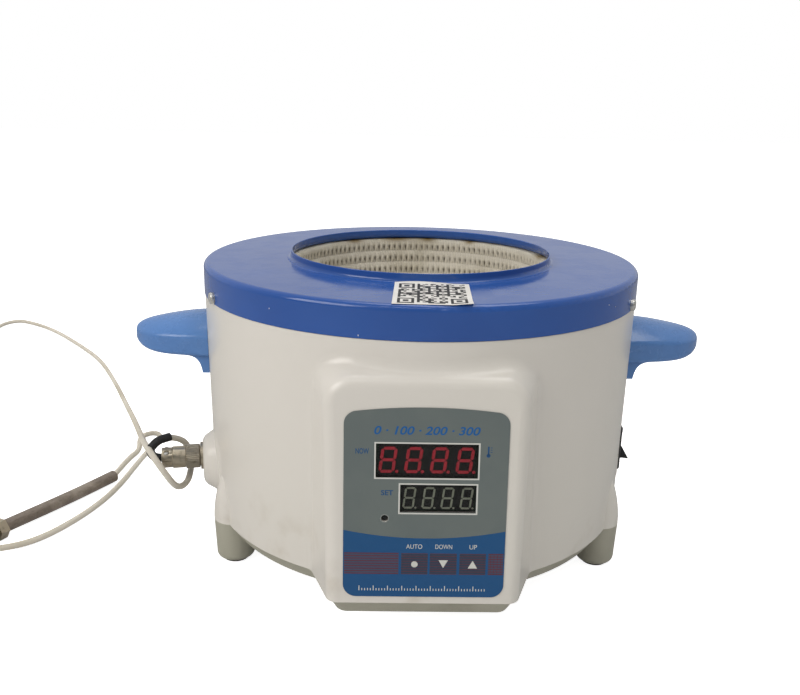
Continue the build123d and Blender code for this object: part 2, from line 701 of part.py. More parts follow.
def make_control_board():
    w, v = 2 * BOARD_HALF_W, (BOARD_LOW + BOARD_HIGH) / 2
    front = board_front()
    board = box_on(PANEL, w, BOARD_HIGH - BOARD_LOW, front - BOARD_T, front, 0, v)
    for hole in board_holes():
        board -= hole
    return board


def make_board_screws():
    back = PANEL.offset(board_front() - BOARD_T)
    flipped = Plane(origin=back.origin, x_dir=back.x_dir, z_dir=-back.z_dir)
    places = [(u, v) for u in (-BOARD_POST_U, BOARD_POST_U) for v in BOARD_POST_V]
    return [pan_head(flipped, 1.25, 2.6, 2, 6, u, -v) for u, v in places]


def make_status_led():
    """Three millimetre indicator lamp behind the face, with its two leads into the board."""
    u, v = LED_UV
    lamp = rod_on(PANEL, LED_R, -4, -0.3 - LED_R, u, v) + PANEL * Pos(u, v, -0.3 - LED_R) * Sphere(LED_R)
    lamp += rod_on(PANEL, LED_R + 0.4, -CASING_WALL - 1.2, -CASING_WALL - 0.2, u, v)
    for du in (-0.8, 0.8):
        lamp += box_on(PANEL, 0.5, 0.5, board_front(), -CASING_WALL - 1, u + du, v)
    return lamp


def make_key(index):
    """Key plunger under the film: a pin in the face's hole with a collar behind the wall."""
    u = KEY_U[index]
    tail = board_front() + TACT_H + KEY_GAP
    pin = rod_on(PANEL, KEY_R, tail, -SOFT_GAP, u, KEY_V)
    return pin + rod_on(PANEL, KEY_FLANGE_R, -CASING_WALL - 1.2, -CASING_WALL - 0.1, u, KEY_V)


def make_tact_switches():
    out = []
    for u in KEY_U:
        body = box_on(PANEL, TACT_SIZE, TACT_SIZE, board_front(), board_front() + TACT_H - 0.8, u, KEY_V)
        out.append(body + rod_on(PANEL, 1.75, board_front() + TACT_H - 1, board_front() + TACT_H, u, KEY_V))
    return out


# Rocker switch --------------------------------------------------------------------------------


def switch_plane():
    return wall_plane(SWITCH_AZ, SWITCH_SEAT, SWITCH_Z)


def rocker_axis_depth():
    """Distance of the rocker's pivot behind the bezel's seat."""
    return BEZEL_T - ROCKER_PIVOT


def rocker_plane():
    """The rocker's side view: x runs up the wall, y points out of it and z along the pivot."""
    plane = switch_plane()
    at = plane.origin + plane.z_dir * rocker_axis_depth()
    return Plane(origin=at, x_dir=plane.y_dir, z_dir=plane.y_dir.cross(plane.z_dir))


def make_switch_body():
    """Switch housing: bezel, snap-in body with a well for the rocker, and three tags."""
    plane = switch_plane()
    bezel = box_on(plane, BEZEL_W, BEZEL_H, 0, BEZEL_T)
    face = bezel.faces().sort_by(plane_axis(plane))[-1]
    bezel = chamfer(face.edges(), 0.8)
    body = bezel + box_on(plane, SWITCH_BODY_W, SWITCH_BODY_H, -SWITCH_BODY_D, 0)
    well_w, well_l = ROCKER_W + 2 * ROCKER_GAP, ROCKER_L + 2 * (ROCKER_GAP + ROCKER_SWING)
    body -= box_on(plane, well_w, well_l, rocker_axis_depth() - ROCKER_L / 2 - 1.5, BEZEL_T + 1)
    body -= rocker_plane() * Cylinder(TRUNNION_R + PIVOT_CLEAR, ROCKER_W + 2 * TRUNNION_L + 1)
    for dv in (-8, 0, 8):
        body += box_on(plane, 6.3, 0.8, -SWITCH_BODY_D - 8, -SWITCH_BODY_D, 0, dv)
    return body


def make_switch_rocker():
    """Rocker with two sloping halves that meet in a valley, tipped with its upper half pressed."""
    rise = ROCKER_RISE + BEZEL_T - rocker_axis_depth()
    half = ROCKER_L / 2
    centre = rise - half * math.tan(math.radians(ROCKER_VALLEY))
    low, foot = -half * 0.62, half * 0.8
    upper = [(half, rise), (half - 1.6, rise - 4.5), (foot, low)]
    lower = [(-x, y) for x, y in reversed(upper)]
    profile = make_face(Polyline((0, centre), *upper, *lower, close=True))
    body = extrude(profile, ROCKER_W / 2, both=True) + Cylinder(TRUNNION_R, ROCKER_W + 2 * TRUNNION_L)
    return rocker_plane() * Rot(0, 0, -ROCKER_TILT) * body


# Probe socket and plug ------------------------------------------------------------------------


def socket_plane():
    return wall_plane(SOCKET_AZ, BOSS_SEAT, SOCKET_Z)


def make_socket():
    """Panel socket: round flange outside the boss, threaded body through it."""
    plane = socket_plane()
    body = rod_on(plane, FLANGE_R, 0, FLANGE_T) + rod_on(plane, SOCKET_R, -16, FLANGE_T + 5)
    body -= rod_on(plane, SOCKET_R - 1.2, FLANGE_T + 1, FLANGE_T + 6)
    for k in range(4):
        a = math.radians(45 + 90 * k)
        body += rod_on(plane, 0.6, FLANGE_T + 0.5, FLANGE_T + 4.5, 2.6 * math.cos(a), 2.6 * math.sin(a))
    return body


def make_socket_nut():
    """Hexagon nut that clamps the socket to the boss wall from inside."""
    plane = socket_plane()
    nut = plane * Pos(0, 0, -CASING_WALL - 3) * extrude(RegularPolygon(SOCKET_R + 2.2, 6), 3)
    return nut - rod_on(plane, SOCKET_R + 0.05, -CASING_WALL - 4, 0)


def ring_start():
    return FLANGE_T + TURN_GAP


def make_plug_ring():
    """Coupling ring with knurled band, free to turn on the plug's barrel."""
    plane = socket_plane()
    low = ring_start()
    ring = rod_on(plane, RING_R, low, low + RING_L)
    rim = ring.edges().filter_by(GeomType.CIRCLE)
    ring = chamfer(rim, 0.6)
    ring -= rod_on(plane, SOCKET_R + TURN_GAP, low - 1, low + 6)
    ring -= rod_on(plane, SOCKET_R - 1.0, low + 5, low + RING_L + 1)
    return ring


def barrel_start():
    return ring_start() + RING_L + TURN_GAP


def make_plug_barrel():
    """Plug barrel: a neck inside the coupling ring, a round body and a saddle end for the clamp."""
    plane = socket_plane()
    low = barrel_start()
    neck_r = SOCKET_R - 1.0 - TURN_GAP
    body = rod_on(plane, BARREL_R, low, low + BARREL_L)
    body = chamfer(body.edges().filter_by(GeomType.CIRCLE).sort_by(plane_axis(plane))[-1], 0.7)
    body += rod_on(plane, neck_r, FLANGE_T + 5.3, low)
    saddle = rod_on(plane, CLAMP_R, low + BARREL_L, low + BARREL_L + CLAMP_L)
    saddle -= box_on(plane, 20, 20, low + BARREL_L + 0.4, low + BARREL_L + CLAMP_L + 1, 0, 10)
    for hole in clamp_screw_holes():
        saddle -= hole
    body += saddle
    return body - rod_on(plane, CORD_R + 0.1, low + BARREL_L - 3, low + BARREL_L + CLAMP_L + 1)


def make_cord_clamp():
    """Saddle clamp over the cord: the upper half of the plug's tail, held by two screws."""
    plane = socket_plane()
    low = barrel_start() + BARREL_L + 0.6
    clamp = rod_on(plane, CLAMP_R, low, low + CLAMP_L - 0.6)
    clamp -= box_on(plane, 20, 20, low - 1, low + CLAMP_L + 1, 0, -10 + 0.4)
    for hole in clamp_screw_holes():
        clamp -= hole
    return clamp - rod_on(plane, CORD_R + 0.1, low - 1, low + CLAMP_L + 1)


def clamp_screw_planes():
    """Where the heads of the clamp's two screws seat, on either side of the cord."""
    plane = socket_plane()
    mid = barrel_start() + BARREL_L + CLAMP_L / 2 + 0.3
    at = plane.origin + plane.z_dir * mid + UP * CLAMP_SCREW_SEAT
    return [Plane(origin=at + plane.x_dir * du, z_dir=UP) for du in (-CLAMP_SCREW_DX, CLAMP_SCREW_DX)]


def clamp_screw_holes():
    """Shank holes with a spot face for each head."""
    holes = []
    for seat in clamp_screw_planes():
        holes.append(rod_on(seat, CLAMP_SCREW_R, -CLAMP_SCREW_L - 0.5, 1))
        holes.append(rod_on(seat, CLAMP_HEAD_R + 0.2, 0, 5))
    return holes


def make_clamp_screws():
    return [pan_head(seat, CLAMP_SCREW_R, CLAMP_HEAD_R, 1.2, CLAMP_SCREW_L) for seat in clamp_screw_planes()]


def plug_end():
    """Where the cord leaves the plug."""
    plane = socket_plane()
    return plane.origin + plane.z_dir * (barrel_start() + BARREL_L + CLAMP_L)


# Mains inlet ----------------------------------------------------------------------------------


def inlet_plane():
    return wall_plane(180, INLET_SEAT, INLET_Z)


def make_mains_inlet():
    """Appliance inlet: flange on the pad, body through the wall, open mouth and three tags."""
    plane = inlet_plane()
    w, h, t = INLET_FLANGE
    flange = box_on(plane, w, h, 0, t)
    flange = fillet(flange.edges().filter_by(lambda e: abs(e.tangent_at(0).dot(plane.z_dir)) > 0.99), 5)
    body = flange + box_on(plane, INLET_BODY[0], INLET_BODY[1], -INLET_BODY[2], 0)
    mouth = Rectangle(INLET_MOUTH[0], INLET_MOUTH[1])
    mouth = chamfer(mouth.vertices().sort_by(Axis.Y)[-2:], 4.5)
    body -= plane * Pos(0, 0, t - INLET_MOUTH[2]) * extrude(mouth, INLET_MOUTH[2])
    for dx in (-INLET_SCREW_DX, INLET_SCREW_DX):
        body -= rod_on(plane, M3_R + 0.1, -1, t + 1, dx)
    for du, dv in pin_places():
        body -= box_on(plane, PIN_SIZE[0], PIN_SIZE[1], -INLET_BODY[2] - 1, 0, du, dv)
    return body


def pin_places():
    return [(-PIN_PITCH, -1.5), (0, 2.5), (PIN_PITCH, -1.5)]


def make_inlet_pins():
    plane = inlet_plane()
    low = INLET_FLANGE[2] - INLET_MOUTH[2]
    return [box_on(plane, *PIN_SIZE, -INLET_BODY[2] - 7, low + PIN_L - 2, du, dv) for du, dv in pin_places()]


def make_inlet_screws():
    plane = inlet_plane().offset(INLET_FLANGE[2])
    return [pan_head(plane, 1.25, 2.7, 1.8, 12, dx) for dx in (-INLET_SCREW_DX, INLET_SCREW_DX)]


# Power board ----------------------------------------------------------------------------------


def on_board(w, d, h, dx, dy):
    """A block on the power board."""
    x, y = POWER_BOARD_XY
    z = POWER_BOARD_Z + POWER_BOARD[2]
    return Pos(x + dx, y + dy, z) * Box(w, d, h, align=LOW)


def make_power_board():
    x, y = POWER_BOARD_XY
    board = Pos(x, y, POWER_BOARD_Z) * Box(*POWER_BOARD, align=LOW)
    for px, py in power_posts():
        board -= Pos(px, py, POWER_BOARD_Z) * Cylinder(1.6, POWER_BOARD[2], align=LOW)
    return board


def make_power_screws():
    top = POWER_BOARD_Z + POWER_BOARD[2]
    return [pan_head(Plane(origin=(x, y, top), z_dir=UP), 1.25, 2.6, 2, 7) for x, y in power_posts()]


def make_transformer():
    """Small mains transformer: laminated core with a bobbin through it."""
    core = on_board(34, 28, 26, 28, 12)
    return core + on_board(24, 36, 20, 28, 12)


def make_heat_sink():
    """Finned heat sink for the power switch."""
    sink = on_board(42, 22, 4, -26, 14)
    for i in range(6):
        sink += on_board(2, 22, 26, -26 - 20 + i * 8, 14)
    return sink


def make_triac():
    """Power switch lying against the end fin of the heat sink."""
    body = on_board(4.4, 10, 15, -26 - 20 - 3.2 - 0.1, 14)
    for dy in (-2.5, 0, 2.5):
        body += on_board(0.8, 0.8, 2, -26 - 20 - 3.2 - 0.1, 14 + dy)
    return body


def make_terminal_block():
    block = on_board(40, 12, 13, -26, -22)
    for i in range(4):
        block -= on_board(6, 6, 20, -26 - 15 + i * 10, -22) & above(POWER_BOARD_Z + 11)
    return block


def make_fuse():
    """Glass fuse lying in its two clips."""
    z = POWER_BOARD_Z + POWER_BOARD[2] + 5
    x, y = POWER_BOARD_XY
    tube = Pos(x + 24, y - 22, z) * Rot(0, 90, 0) * Cylinder(2.5, 20)
    for dx in (-8, 8):
        tube += on_board(4, 7, 6, 24 + dx, -22)
    return tube


def make_heater_leads():
    """Two sleeved leads from the bowl's knot down through the pan to the terminal block."""
    x, y = POWER_BOARD_XY
    top = BOWL_CENTRE_Z - BOWL_R - BOWL_T
    end = POWER_BOARD_Z + POWER_BOARD[2] + 13
    out = []
    for k, dx in ((0, -31), (1, -21)):
        foot = (x + dx, y - 22, end)
        start = (-2.2 + 4.4 * k, 0, top)
        low = PAN_LEDGE_Z - PAN_R - 8
        path = FilletPolyline(start, (start[0], 0, low), (foot[0], foot[1], low - 5), foot, radius=4)
        out.append(sweep(Plane(origin=start, z_dir=(0, 0, -1)) * Circle(LEAD_R), path))
    return out


# Cord and probe -------------------------------------------------------------------------------

CORD_ROUTE = [
    (-173.5, -36.9, 60.5),
    (-176.3, -35.3, 65),
    (-172.3, -29.5, 69.2),
    (-165.5, -23, 69.4),
    (-158.4, -14, 63.5),
    (-155.3, -11.5, 55.2),
    (-153.6, -16, 48.2),
    (-152.8, -24, 43.7),
    (-153, -34, 41.3),
    (-156.1, -41, 41),
    (-158.8, -46, 45.3),
    (-162.7, -49, 53.7),
    (-170.3, -47.5, 64.7),
    (-176.1, -37.9, 66.5),
    (-187.4, -10.3, 61),
    (-213.7, 63.2, 46),
    (-246.4, 148.4, 30),
    (-284.6, 247.5, 13),
    (-327.9, 346.2, 2.2),
    (-349, 381, 2.2),
    (-380.3, 422.8, 2.2),
    (-419.3, 471.6, 2.2),
    (-450.1, 503.4, 2.2),
    (-477.1, 524, 2.2),
    (-494, 532.5, 2.2),
    (-506, 522, 2.2),
    (-509, 498, 2.2),
    (-505, 455, 2.2),
    (-491, 400, 2.2),
    (-476, 350, 2.2),
    (-459, 302, 2.2),
    (-442, 255, 2.2),
    (-421, 204, 2.2),
    (-398, 150, 2.2),
    (-382, 95, 2.2),
    (-374, 39, 2.2),
    (-371, -17, 2.2),
    (-365, -63, 3.5),
    (-348, -88, 10),
    (-322, -97, 15),
    (-295, -84, 14),
    (-277, -66, 7),
    (-261.6, -51.2, 2.6),
    (-248.8, -37.3, 2.2),
    (-236.5, -12.3, 2.2),
    (-227.8, 14.6, 2.2),
    (-222.9, 43.8, 2.2),
    (-221.4, 74.6, 2.2),
    (-219.8, 102.7, 2.2),
    (-217.2, 123.4, 2.2),
    (-215.8, 138, 2.2),
    (-218.5, 148, 2.2),
    (-225, 151.5, 2.2),
    (-231, 147, 2.2),
    (-233.5, 137, 2.2),
    (-226.5, 113.4, 2.2),
    (-229.8, 96.9, 2.4),
    (-230.9, 76.9, 3.2),
    (-230.8, 55.2, 4.5),
]
SLEEVE_POINTS = 4
PROBE_SLEEVE_ROUTE = [(-230.8, 55.2, 4.5), (-245.6, 27.5, 4.5), (-260.5, -0.3, 5.3), (-278.3, -34.2, 6.95)]


def rounded_path(points):
    """Straight runs joined by tangent arcs, each as large as its two runs allow."""
    points = [Vector(*p) for p in points]
    radii = []
    for before, here, after in zip(points, points[1:], points[2:]):
        turn = (here - before).get_angle(after - here)
        run = min((here - before).length, (after - here).length)
        radii.append(min(0.45 * run / math.tan(math.radians(turn / 2)), 5000))
    return FilletPolyline(*points, radius=radii), radii


def swept_tube(points, r, bore=0.0):
    path, radii = rounded_path(points)
    start = Plane(origin=path @ 0, z_dir=path % 0)
    tube = sweep(start * Circle(r), path)
    if bore:
        tube -= sweep(start * Circle(bore), path)
    return tube, path, radii


def cord_points():
    return [tuple(plug_end())] + CORD_ROUTE


def make_cord():
    tube, path, radii = swept_tube(cord_points(), CORD_R)
    print("cord length", round(path.length), "smallest radii", [round(r, 1) for r in sorted(radii)[:6]])
    print("volume against section times length", round(tube.volume / (path.length * math.pi * CORD_R**2), 4))
    return tube


def make_cord_sleeve():
    """Black shrink sleeve over the cord, from just behind the plug."""
    tube = swept_tube(cord_points()[: SLEEVE_POINTS + 1], SLEEVE_R, CORD_R + SEAT_GAP)[0]
    plane = socket_plane()
    tail = (plug_end() - plane.origin).length
    return tube - rod_on(plane, 2 * SLEEVE_R, tail - 1, tail + SLEEVE_GAP)


def make_probe_sleeve():
    """Long shrink sleeve over the joint between cord and probe."""
    return swept_tube(PROBE_SLEEVE_ROUTE, PROBE_SLEEVE_R)[0]


def probe_plane():
    """Start of the probe's rod at the end of its sleeve, sloping down to its tip on the bench."""
    a, b = Vector(*PROBE_SLEEVE_ROUTE[-2]), Vector(*PROBE_SLEEVE_ROUTE[-1])
    flat = Vector(b.X - a.X, b.Y - a.Y, 0).normalized()
    drop = (b.Z - ROD_R) / ROD_L
    return Plane(origin=b, x_dir=Vector(-flat.Y, flat.X, 0), z_dir=flat - UP * drop)


def make_probe_rod():
    plane = probe_plane()
    rod = rod_on(plane, ROD_R, 0, ROD_L)
    return fillet(rod.edges().filter_by(GeomType.CIRCLE).sort_by(plane_axis(plane))[-1], ROD_R * 0.8)


def make_probe_nuts():
    """Two hexagon nuts on the probe's rod beside the sleeve."""
    plane = probe_plane()
    out = []
    for k in range(2):
        low = 0.3 + k * (NUT_T + NUT_GAP)
        nut = plane * Pos(0, 0, low) * extrude(RegularPolygon(NUT_AF / 2, 6, major_radius=False), NUT_T)
        out.append(nut - rod_on(plane, ROD_R + 0.05, low - 1, low + NUT_T + 1))
    return out


# Assembly -------------------------------------------------------------------------------------

CORD_PIECES = {
    "sensor_cord": make_cord,
    "cord_sleeve": make_cord_sleeve,
    "probe_sleeve": make_probe_sleeve,
    "probe_nuts": make_probe_nuts,
    "probe_rod": make_probe_rod,
}
PIECES = {
    "housing": make_housing,
    "base": make_base,
    "foot_pads": make_foot_pads,
    "base_screws": make_base_screws,
    "top_cover": make_top_cover,
    "cover_screws": make_cover_screws,
    "heating_bowl": make_heating_bowl,
    "insulation": make_insulation,
    "inner_pan": make_inner_pan,
    "heater_leads": make_heater_leads,
    "handle_left": lambda: make_handle(-1),
    "handle_right": lambda: make_handle(1),
    "handle_screws": make_handle_screws,
    "panel_film": make_panel_film,
    "display_pane": make_display_pane,
    "display_upper": lambda: make_display(UPPER_WINDOW, UPPER_MODULE),
    "display_lower": lambda: make_display(LOWER_WINDOW, LOWER_MODULE),
    "status_led": make_status_led,
    "control_board": make_control_board,
    "board_screws": make_board_screws,
    "tact_switches": make_tact_switches,
    "key_auto": lambda: make_key(0),
    "key_down": lambda: make_key(1),
    "key_up": lambda: make_key(2),
    "switch_body": make_switch_body,
    "switch_rocker": make_switch_rocker,
    "sensor_socket": make_socket,
    "socket_nut": make_socket_nut,
    "plug_ring": make_plug_ring,
    "plug_barrel": make_plug_barrel,
    "cord_clamp": make_cord_clamp,
    "clamp_screws": make_clamp_screws,
    "mains_inlet": make_mains_inlet,
    "inlet_pins": make_inlet_pins,
    "inlet_screws": make_inlet_screws,
    "power_board": make_power_board,
    "power_screws": make_power_screws,
    "transformer": make_transformer,
    "heat_sink": make_heat_sink,
    "triac": make_triac,
    "terminal_block": make_terminal_block,
    "fuse": make_fuse,
}


def joined(made):
    return Compound(children=made) if isinstance(made, list) else made


os.makedirs("parts", exist_ok=True)
solids = {name: joined(make()) for name, make in PIECES.items()}
cords = {name: joined(make()) for name, make in CORD_PIECES.items()}
boxes = [shape.bounding_box() for shape in solids.values()]
middle = (min(b.min.Y for b in boxes) + max(b.max.Y for b in boxes)) / 2
print("heater axis at y", round(-middle, 3))
for name, shape in {**solids, **cords}.items():
    export_step(Pos(0, -middle, 0) * shape, f"parts/{name}.step")
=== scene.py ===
import bmesh
import bpy
import math
from mathutils import Matrix, Vector, noise


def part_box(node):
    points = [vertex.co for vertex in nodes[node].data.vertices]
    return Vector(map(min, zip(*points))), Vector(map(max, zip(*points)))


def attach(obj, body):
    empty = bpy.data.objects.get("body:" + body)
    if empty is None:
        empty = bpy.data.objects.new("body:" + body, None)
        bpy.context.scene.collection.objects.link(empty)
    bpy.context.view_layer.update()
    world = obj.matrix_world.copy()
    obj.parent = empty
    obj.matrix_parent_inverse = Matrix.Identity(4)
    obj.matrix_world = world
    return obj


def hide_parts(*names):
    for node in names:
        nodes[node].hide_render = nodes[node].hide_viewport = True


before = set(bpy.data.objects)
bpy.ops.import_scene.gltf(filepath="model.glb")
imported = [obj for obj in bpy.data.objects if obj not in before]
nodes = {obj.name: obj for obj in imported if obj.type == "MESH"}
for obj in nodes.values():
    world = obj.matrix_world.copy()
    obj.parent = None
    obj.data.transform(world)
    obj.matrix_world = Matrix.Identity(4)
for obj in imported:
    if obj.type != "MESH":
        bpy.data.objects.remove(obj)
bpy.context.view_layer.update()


# Studio ---------------------------------------------------------------------------------------
# A pale bench top under soft ceiling light, with the room's window side to the left. The heater
# is seen from a little above its cover, with the control panel turned slightly to the right.

MM = 0.001
cover_low, cover_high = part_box("top_cover")
AXIS = Vector(((cover_low.x + cover_high.x) / 2, (cover_low.y + cover_high.y) / 2, 0))


def about_axis(x, y, z):
    """A point in metres, from millimetres measured from the heater's axis on the bench."""
    return AXIS + Vector((x, y, z)) * MM


EYE = about_axis(-23.0, -572.7, 292.5)
HEADING = math.radians(-1.089)
LOOK_DOWN = math.radians(16.073)
ROLL = math.radians(1.180)
LENS = 39.432

camera = bpy.data.objects.new("camera", bpy.data.cameras.new("camera"))
camera.data.sensor_width = 36
camera.data.lens = LENS
turn = Matrix.Rotation(HEADING, 4, "Z") @ Matrix.Rotation(math.pi / 2 - LOOK_DOWN, 4, "X")
camera.matrix_world = Matrix.Translation(EYE) @ turn @ Matrix.Rotation(ROLL, 4, "Z")
bpy.context.collection.objects.link(camera)
bpy.context.scene.camera = camera
bpy.context.scene.view_settings.view_transform = "Standard"


def tint(r, g, b):
    """A shader colour from the 0 to 255 values that a paint chart gives."""
    out = []
    for value in (r, g, b):
        c = value / 255
        out.append(c / 12.92 if c <= 0.04045 else ((c + 0.055) / 1.055) ** 2.4)
    return (*out, 1.0)


class Finish:
    """A surface finish: one material with its shader, and short ways to add variation to it."""

    def __init__(self, name, colour, roughness, metallic=0.0, **sockets):
        self.material = bpy.data.materials.new(name)
        self.material.use_nodes = True
        self.tree = self.material.node_tree
        self.shader = self.tree.nodes["Principled BSDF"]
        self.place = self.tree.nodes.new("ShaderNodeTexCoord").outputs["Object"]
        self.colour = None
        self.height = None
        self.shader.inputs["Base Color"].default_value = colour
        self.shader.inputs["Roughness"].default_value = roughness
        self.shader.inputs["Metallic"].default_value = metallic
        for socket, value in sockets.items():
            self.shader.inputs[socket.replace("_", " ")].default_value = value

    def add(self, kind, **values):
        node = self.tree.nodes.new("ShaderNode" + kind)
        for key, value in values.items():
            if key in node.inputs:
                node.inputs[key].default_value = value
            else:
                setattr(node, key, value)
        return node

    def link(self, out, into):
        self.tree.links.new(out, into)
        return self

    def cloud(self, scale, detail=4.0, low=0.35, high=0.65, stretch=(1, 1, 1)):
        """Soft noise between 0 and 1, in cycles a metre."""
        spread = self.add("Mapping")
        spread.inputs["Scale"].default_value = stretch
        self.link(self.place, spread.inputs["Vector"])
        cloud = self.add("TexNoise", Scale=scale, Detail=detail)
        self.link(spread.outputs["Vector"], cloud.inputs["Vector"])
        clip = self.add("MapRange", interpolation_type="SMOOTHERSTEP")
        clip.inputs["From Min"].default_value = low
        clip.inputs["From Max"].default_value = high
        self.link(cloud.outputs["Fac"], clip.inputs["Value"])
        return clip.outputs["Result"]

    def stain(self, colour, where, strength=1.0):
        """Mixes another colour in where a mask says."""
        mix = self.add("Mix", data_type="RGBA")
        base = self.colour
        if base is None:
            mix.inputs["A"].default_value = self.shader.inputs["Base Color"].default_value
        else:
            self.link(base, mix.inputs["A"])
        mix.inputs["B"].default_value = colour
        weak = self.add("Math", operation="MULTIPLY")
        weak.inputs[1].default_value = strength
        self.link(where, weak.inputs[0])
        self.link(weak.outputs[0], mix.inputs["Factor"])
        self.colour = mix.outputs["Result"]
        self.link(self.colour, self.shader.inputs["Base Color"])
        return self

    def vary_roughness(self, where, low, high):
        span = self.add("MapRange")
        span.inputs["To Min"].default_value = low
        span.inputs["To Max"].default_value = high
        self.link(where, span.inputs["Value"])
        return self.link(span.outputs["Result"], self.shader.inputs["Roughness"])

    def relief(self, height, depth, strength=1.0):
        """Adds a bump of a real depth in metres."""
        bump = self.add("Bump")
        bump.inputs["Strength"].default_value = strength
        bump.inputs["Distance"].default_value = depth
        self.link(height, bump.inputs["Height"])
        if self.height is not None:
            self.link(self.height, bump.inputs["Normal"])
        self.height = bump.outputs["Normal"]
        return self.link(self.height, self.shader.inputs["Normal"])

    def on(self, *names):
        """Gives this finish to solids of the frame."""
        for name in names:
            nodes[name].data.materials.clear()
            nodes[name].data.materials.append(self.material)
        return self


def studio_light(name, place, aim, size, watts, colour):
    lamp = bpy.data.lights.new(name, "AREA")
    lamp.shape = "RECTANGLE"
    lamp.size, lamp.size_y = size
    lamp.energy = watts
    lamp.color = colour
    holder = bpy.data.objects.new(name, lamp)
    holder.location = place
    holder.rotation_euler = (Vector(aim) - Vector(place)).to_track_quat("-Z", "Y").to_euler()
    bpy.context.collection.objects.link(holder)


studio_light("window_side", (-1.5, -1.1, 1.35), (0, 0, 0.1), (1.3, 1.0), 20, (1.0, 0.965, 0.92))
studio_light("ceiling_panel", (0.25, 0.25, 1.9), (0, 0, 0.1), (1.5, 1.1), 15.5, (1.0, 0.985, 0.96))
studio_light("ceiling_tube", (-0.1, -1.15, 1.8), (0, 0, 0.15), (1.1, 0.1), 3.2, (1.0, 0.99, 0.97))


def studio_world():
    """Even room light: white where seen directly, and in gloss a pale wall behind and a dim front."""
    world = bpy.data.worlds.new("room")
    bpy.context.scene.world = world
    world.use_nodes = True
    tree = world.node_tree
    tree.nodes.clear()
    link = tree.links.new
    new = tree.nodes.new
    path = new("ShaderNodeLightPath")
    room, mirrored, seen = (new("ShaderNodeBackground") for _ in range(3))
    room.inputs["Color"].default_value = (1.0, 0.985, 0.97, 1)
    room.inputs["Strength"].default_value = 0.43
    direction = new("ShaderNodeTexCoord")
    split = new("ShaderNodeSeparateXYZ")
    link(direction.outputs["Generated"], split.inputs["Vector"])
    walls = new("ShaderNodeValToRGB")
    walls.color_ramp.elements[0].position = 0.3
    walls.color_ramp.elements[0].color = (0.16, 0.17, 0.18, 1)
    walls.color_ramp.elements[1].position = 0.72
    walls.color_ramp.elements[1].color = (0.6, 0.6, 0.6, 1)
    half = new("ShaderNodeMapRange")
    half.inputs["From Min"].default_value = -1
    link(split.outputs["Y"], half.inputs["Value"])
    link(half.outputs["Result"], walls.inputs["Fac"])
    link(walls.outputs["Color"], mirrored.inputs["Color"])
    shiny = new("ShaderNodeMixShader")
    link(path.outputs["Is Glossy Ray"], shiny.inputs["Fac"])
    link(room.outputs["Background"], shiny.inputs[1])
    link(mirrored.outputs["Background"], shiny.inputs[2])
    direct = new("ShaderNodeMath")
    direct.operation = "MAXIMUM"
    link(path.outputs["Is Camera Ray"], direct.inputs[0])
    link(path.outputs["Is Transmission Ray"], direct.inputs[1])
    last = new("ShaderNodeMixShader")
    link(direct.outputs[0], last.inputs["Fac"])
    link(shiny.outputs["Shader"], last.inputs[1])
    link(seen.outputs["Background"], last.inputs[2])
    seen.inputs["Color"].default_value = (1, 1, 1, 1)
    link(last.outputs["Shader"], new("ShaderNodeOutputWorld").inputs["Surface"])


def bench_top():
    """White bench top: lit like paper, with a share of its own white so that shadows stay light."""
    mesh = bpy.data.meshes.new("bench_top")
    reach = 6.0
    corners = [(-reach, -reach, 0), (reach, -reach, 0), (reach, reach, 0), (-reach, reach, 0)]
    mesh.from_pydata(corners, [], [(0, 1, 2, 3)])
    top = bpy.data.objects.new("bench_top", mesh)
    bpy.context.collection.objects.link(top)
    paper = Finish("white_bench", (0.8, 0.8, 0.8, 1), 0.9)
    glow = paper.add("Emission", Color=(1, 1, 1, 1), Strength=0.9)
    path = paper.add("LightPath")
    dimmed = paper.add("Mix", data_type="RGBA")
    dimmed.inputs["A"].default_value = (0.8, 0.8, 0.8, 1)
    dimmed.inputs["B"].default_value = (0.3, 0.3, 0.3, 1)
    paper.link(path.outputs["Is Glossy Ray"], dimmed.inputs["Factor"])
    paper.link(dimmed.outputs["Result"], paper.shader.inputs["Base Color"])
    shadow_side = paper.add("AddShader")
    paper.link(paper.shader.outputs[0], shadow_side.inputs[0])
    paper.link(glow.outputs[0], shadow_side.inputs[1])
    choose = paper.add("MixShader")
    seen = paper.add("Math", operation="MAXIMUM")
    paper.link(path.outputs["Is Camera Ray"], seen.inputs[0])
    faint = paper.add("Math", operation="MULTIPLY")
    faint.inputs[1].default_value = 0.1
    paper.link(path.outputs["Is Glossy Ray"], faint.inputs[0])
    paper.link(faint.outputs[0], seen.inputs[1])
    paper.link(seen.outputs[0], choose.inputs["Fac"])
    paper.link(paper.shader.outputs[0], choose.inputs[1])
    paper.link(shadow_side.outputs[0], choose.inputs[2])
    paper.link(choose.outputs[0], paper.tree.nodes["Material Output"].inputs["Surface"])
    mesh.materials.append(paper.material)


studio_world()
bench_top()


# Probe cord -----------------------------------------------------------------------------------
# The temperature probe hangs on a thin cord with a pale glass braid. It leaves the plug in a tight
# loop, runs out behind the heater and back, and ends in a shrink sleeve, two nuts and a steel rod.

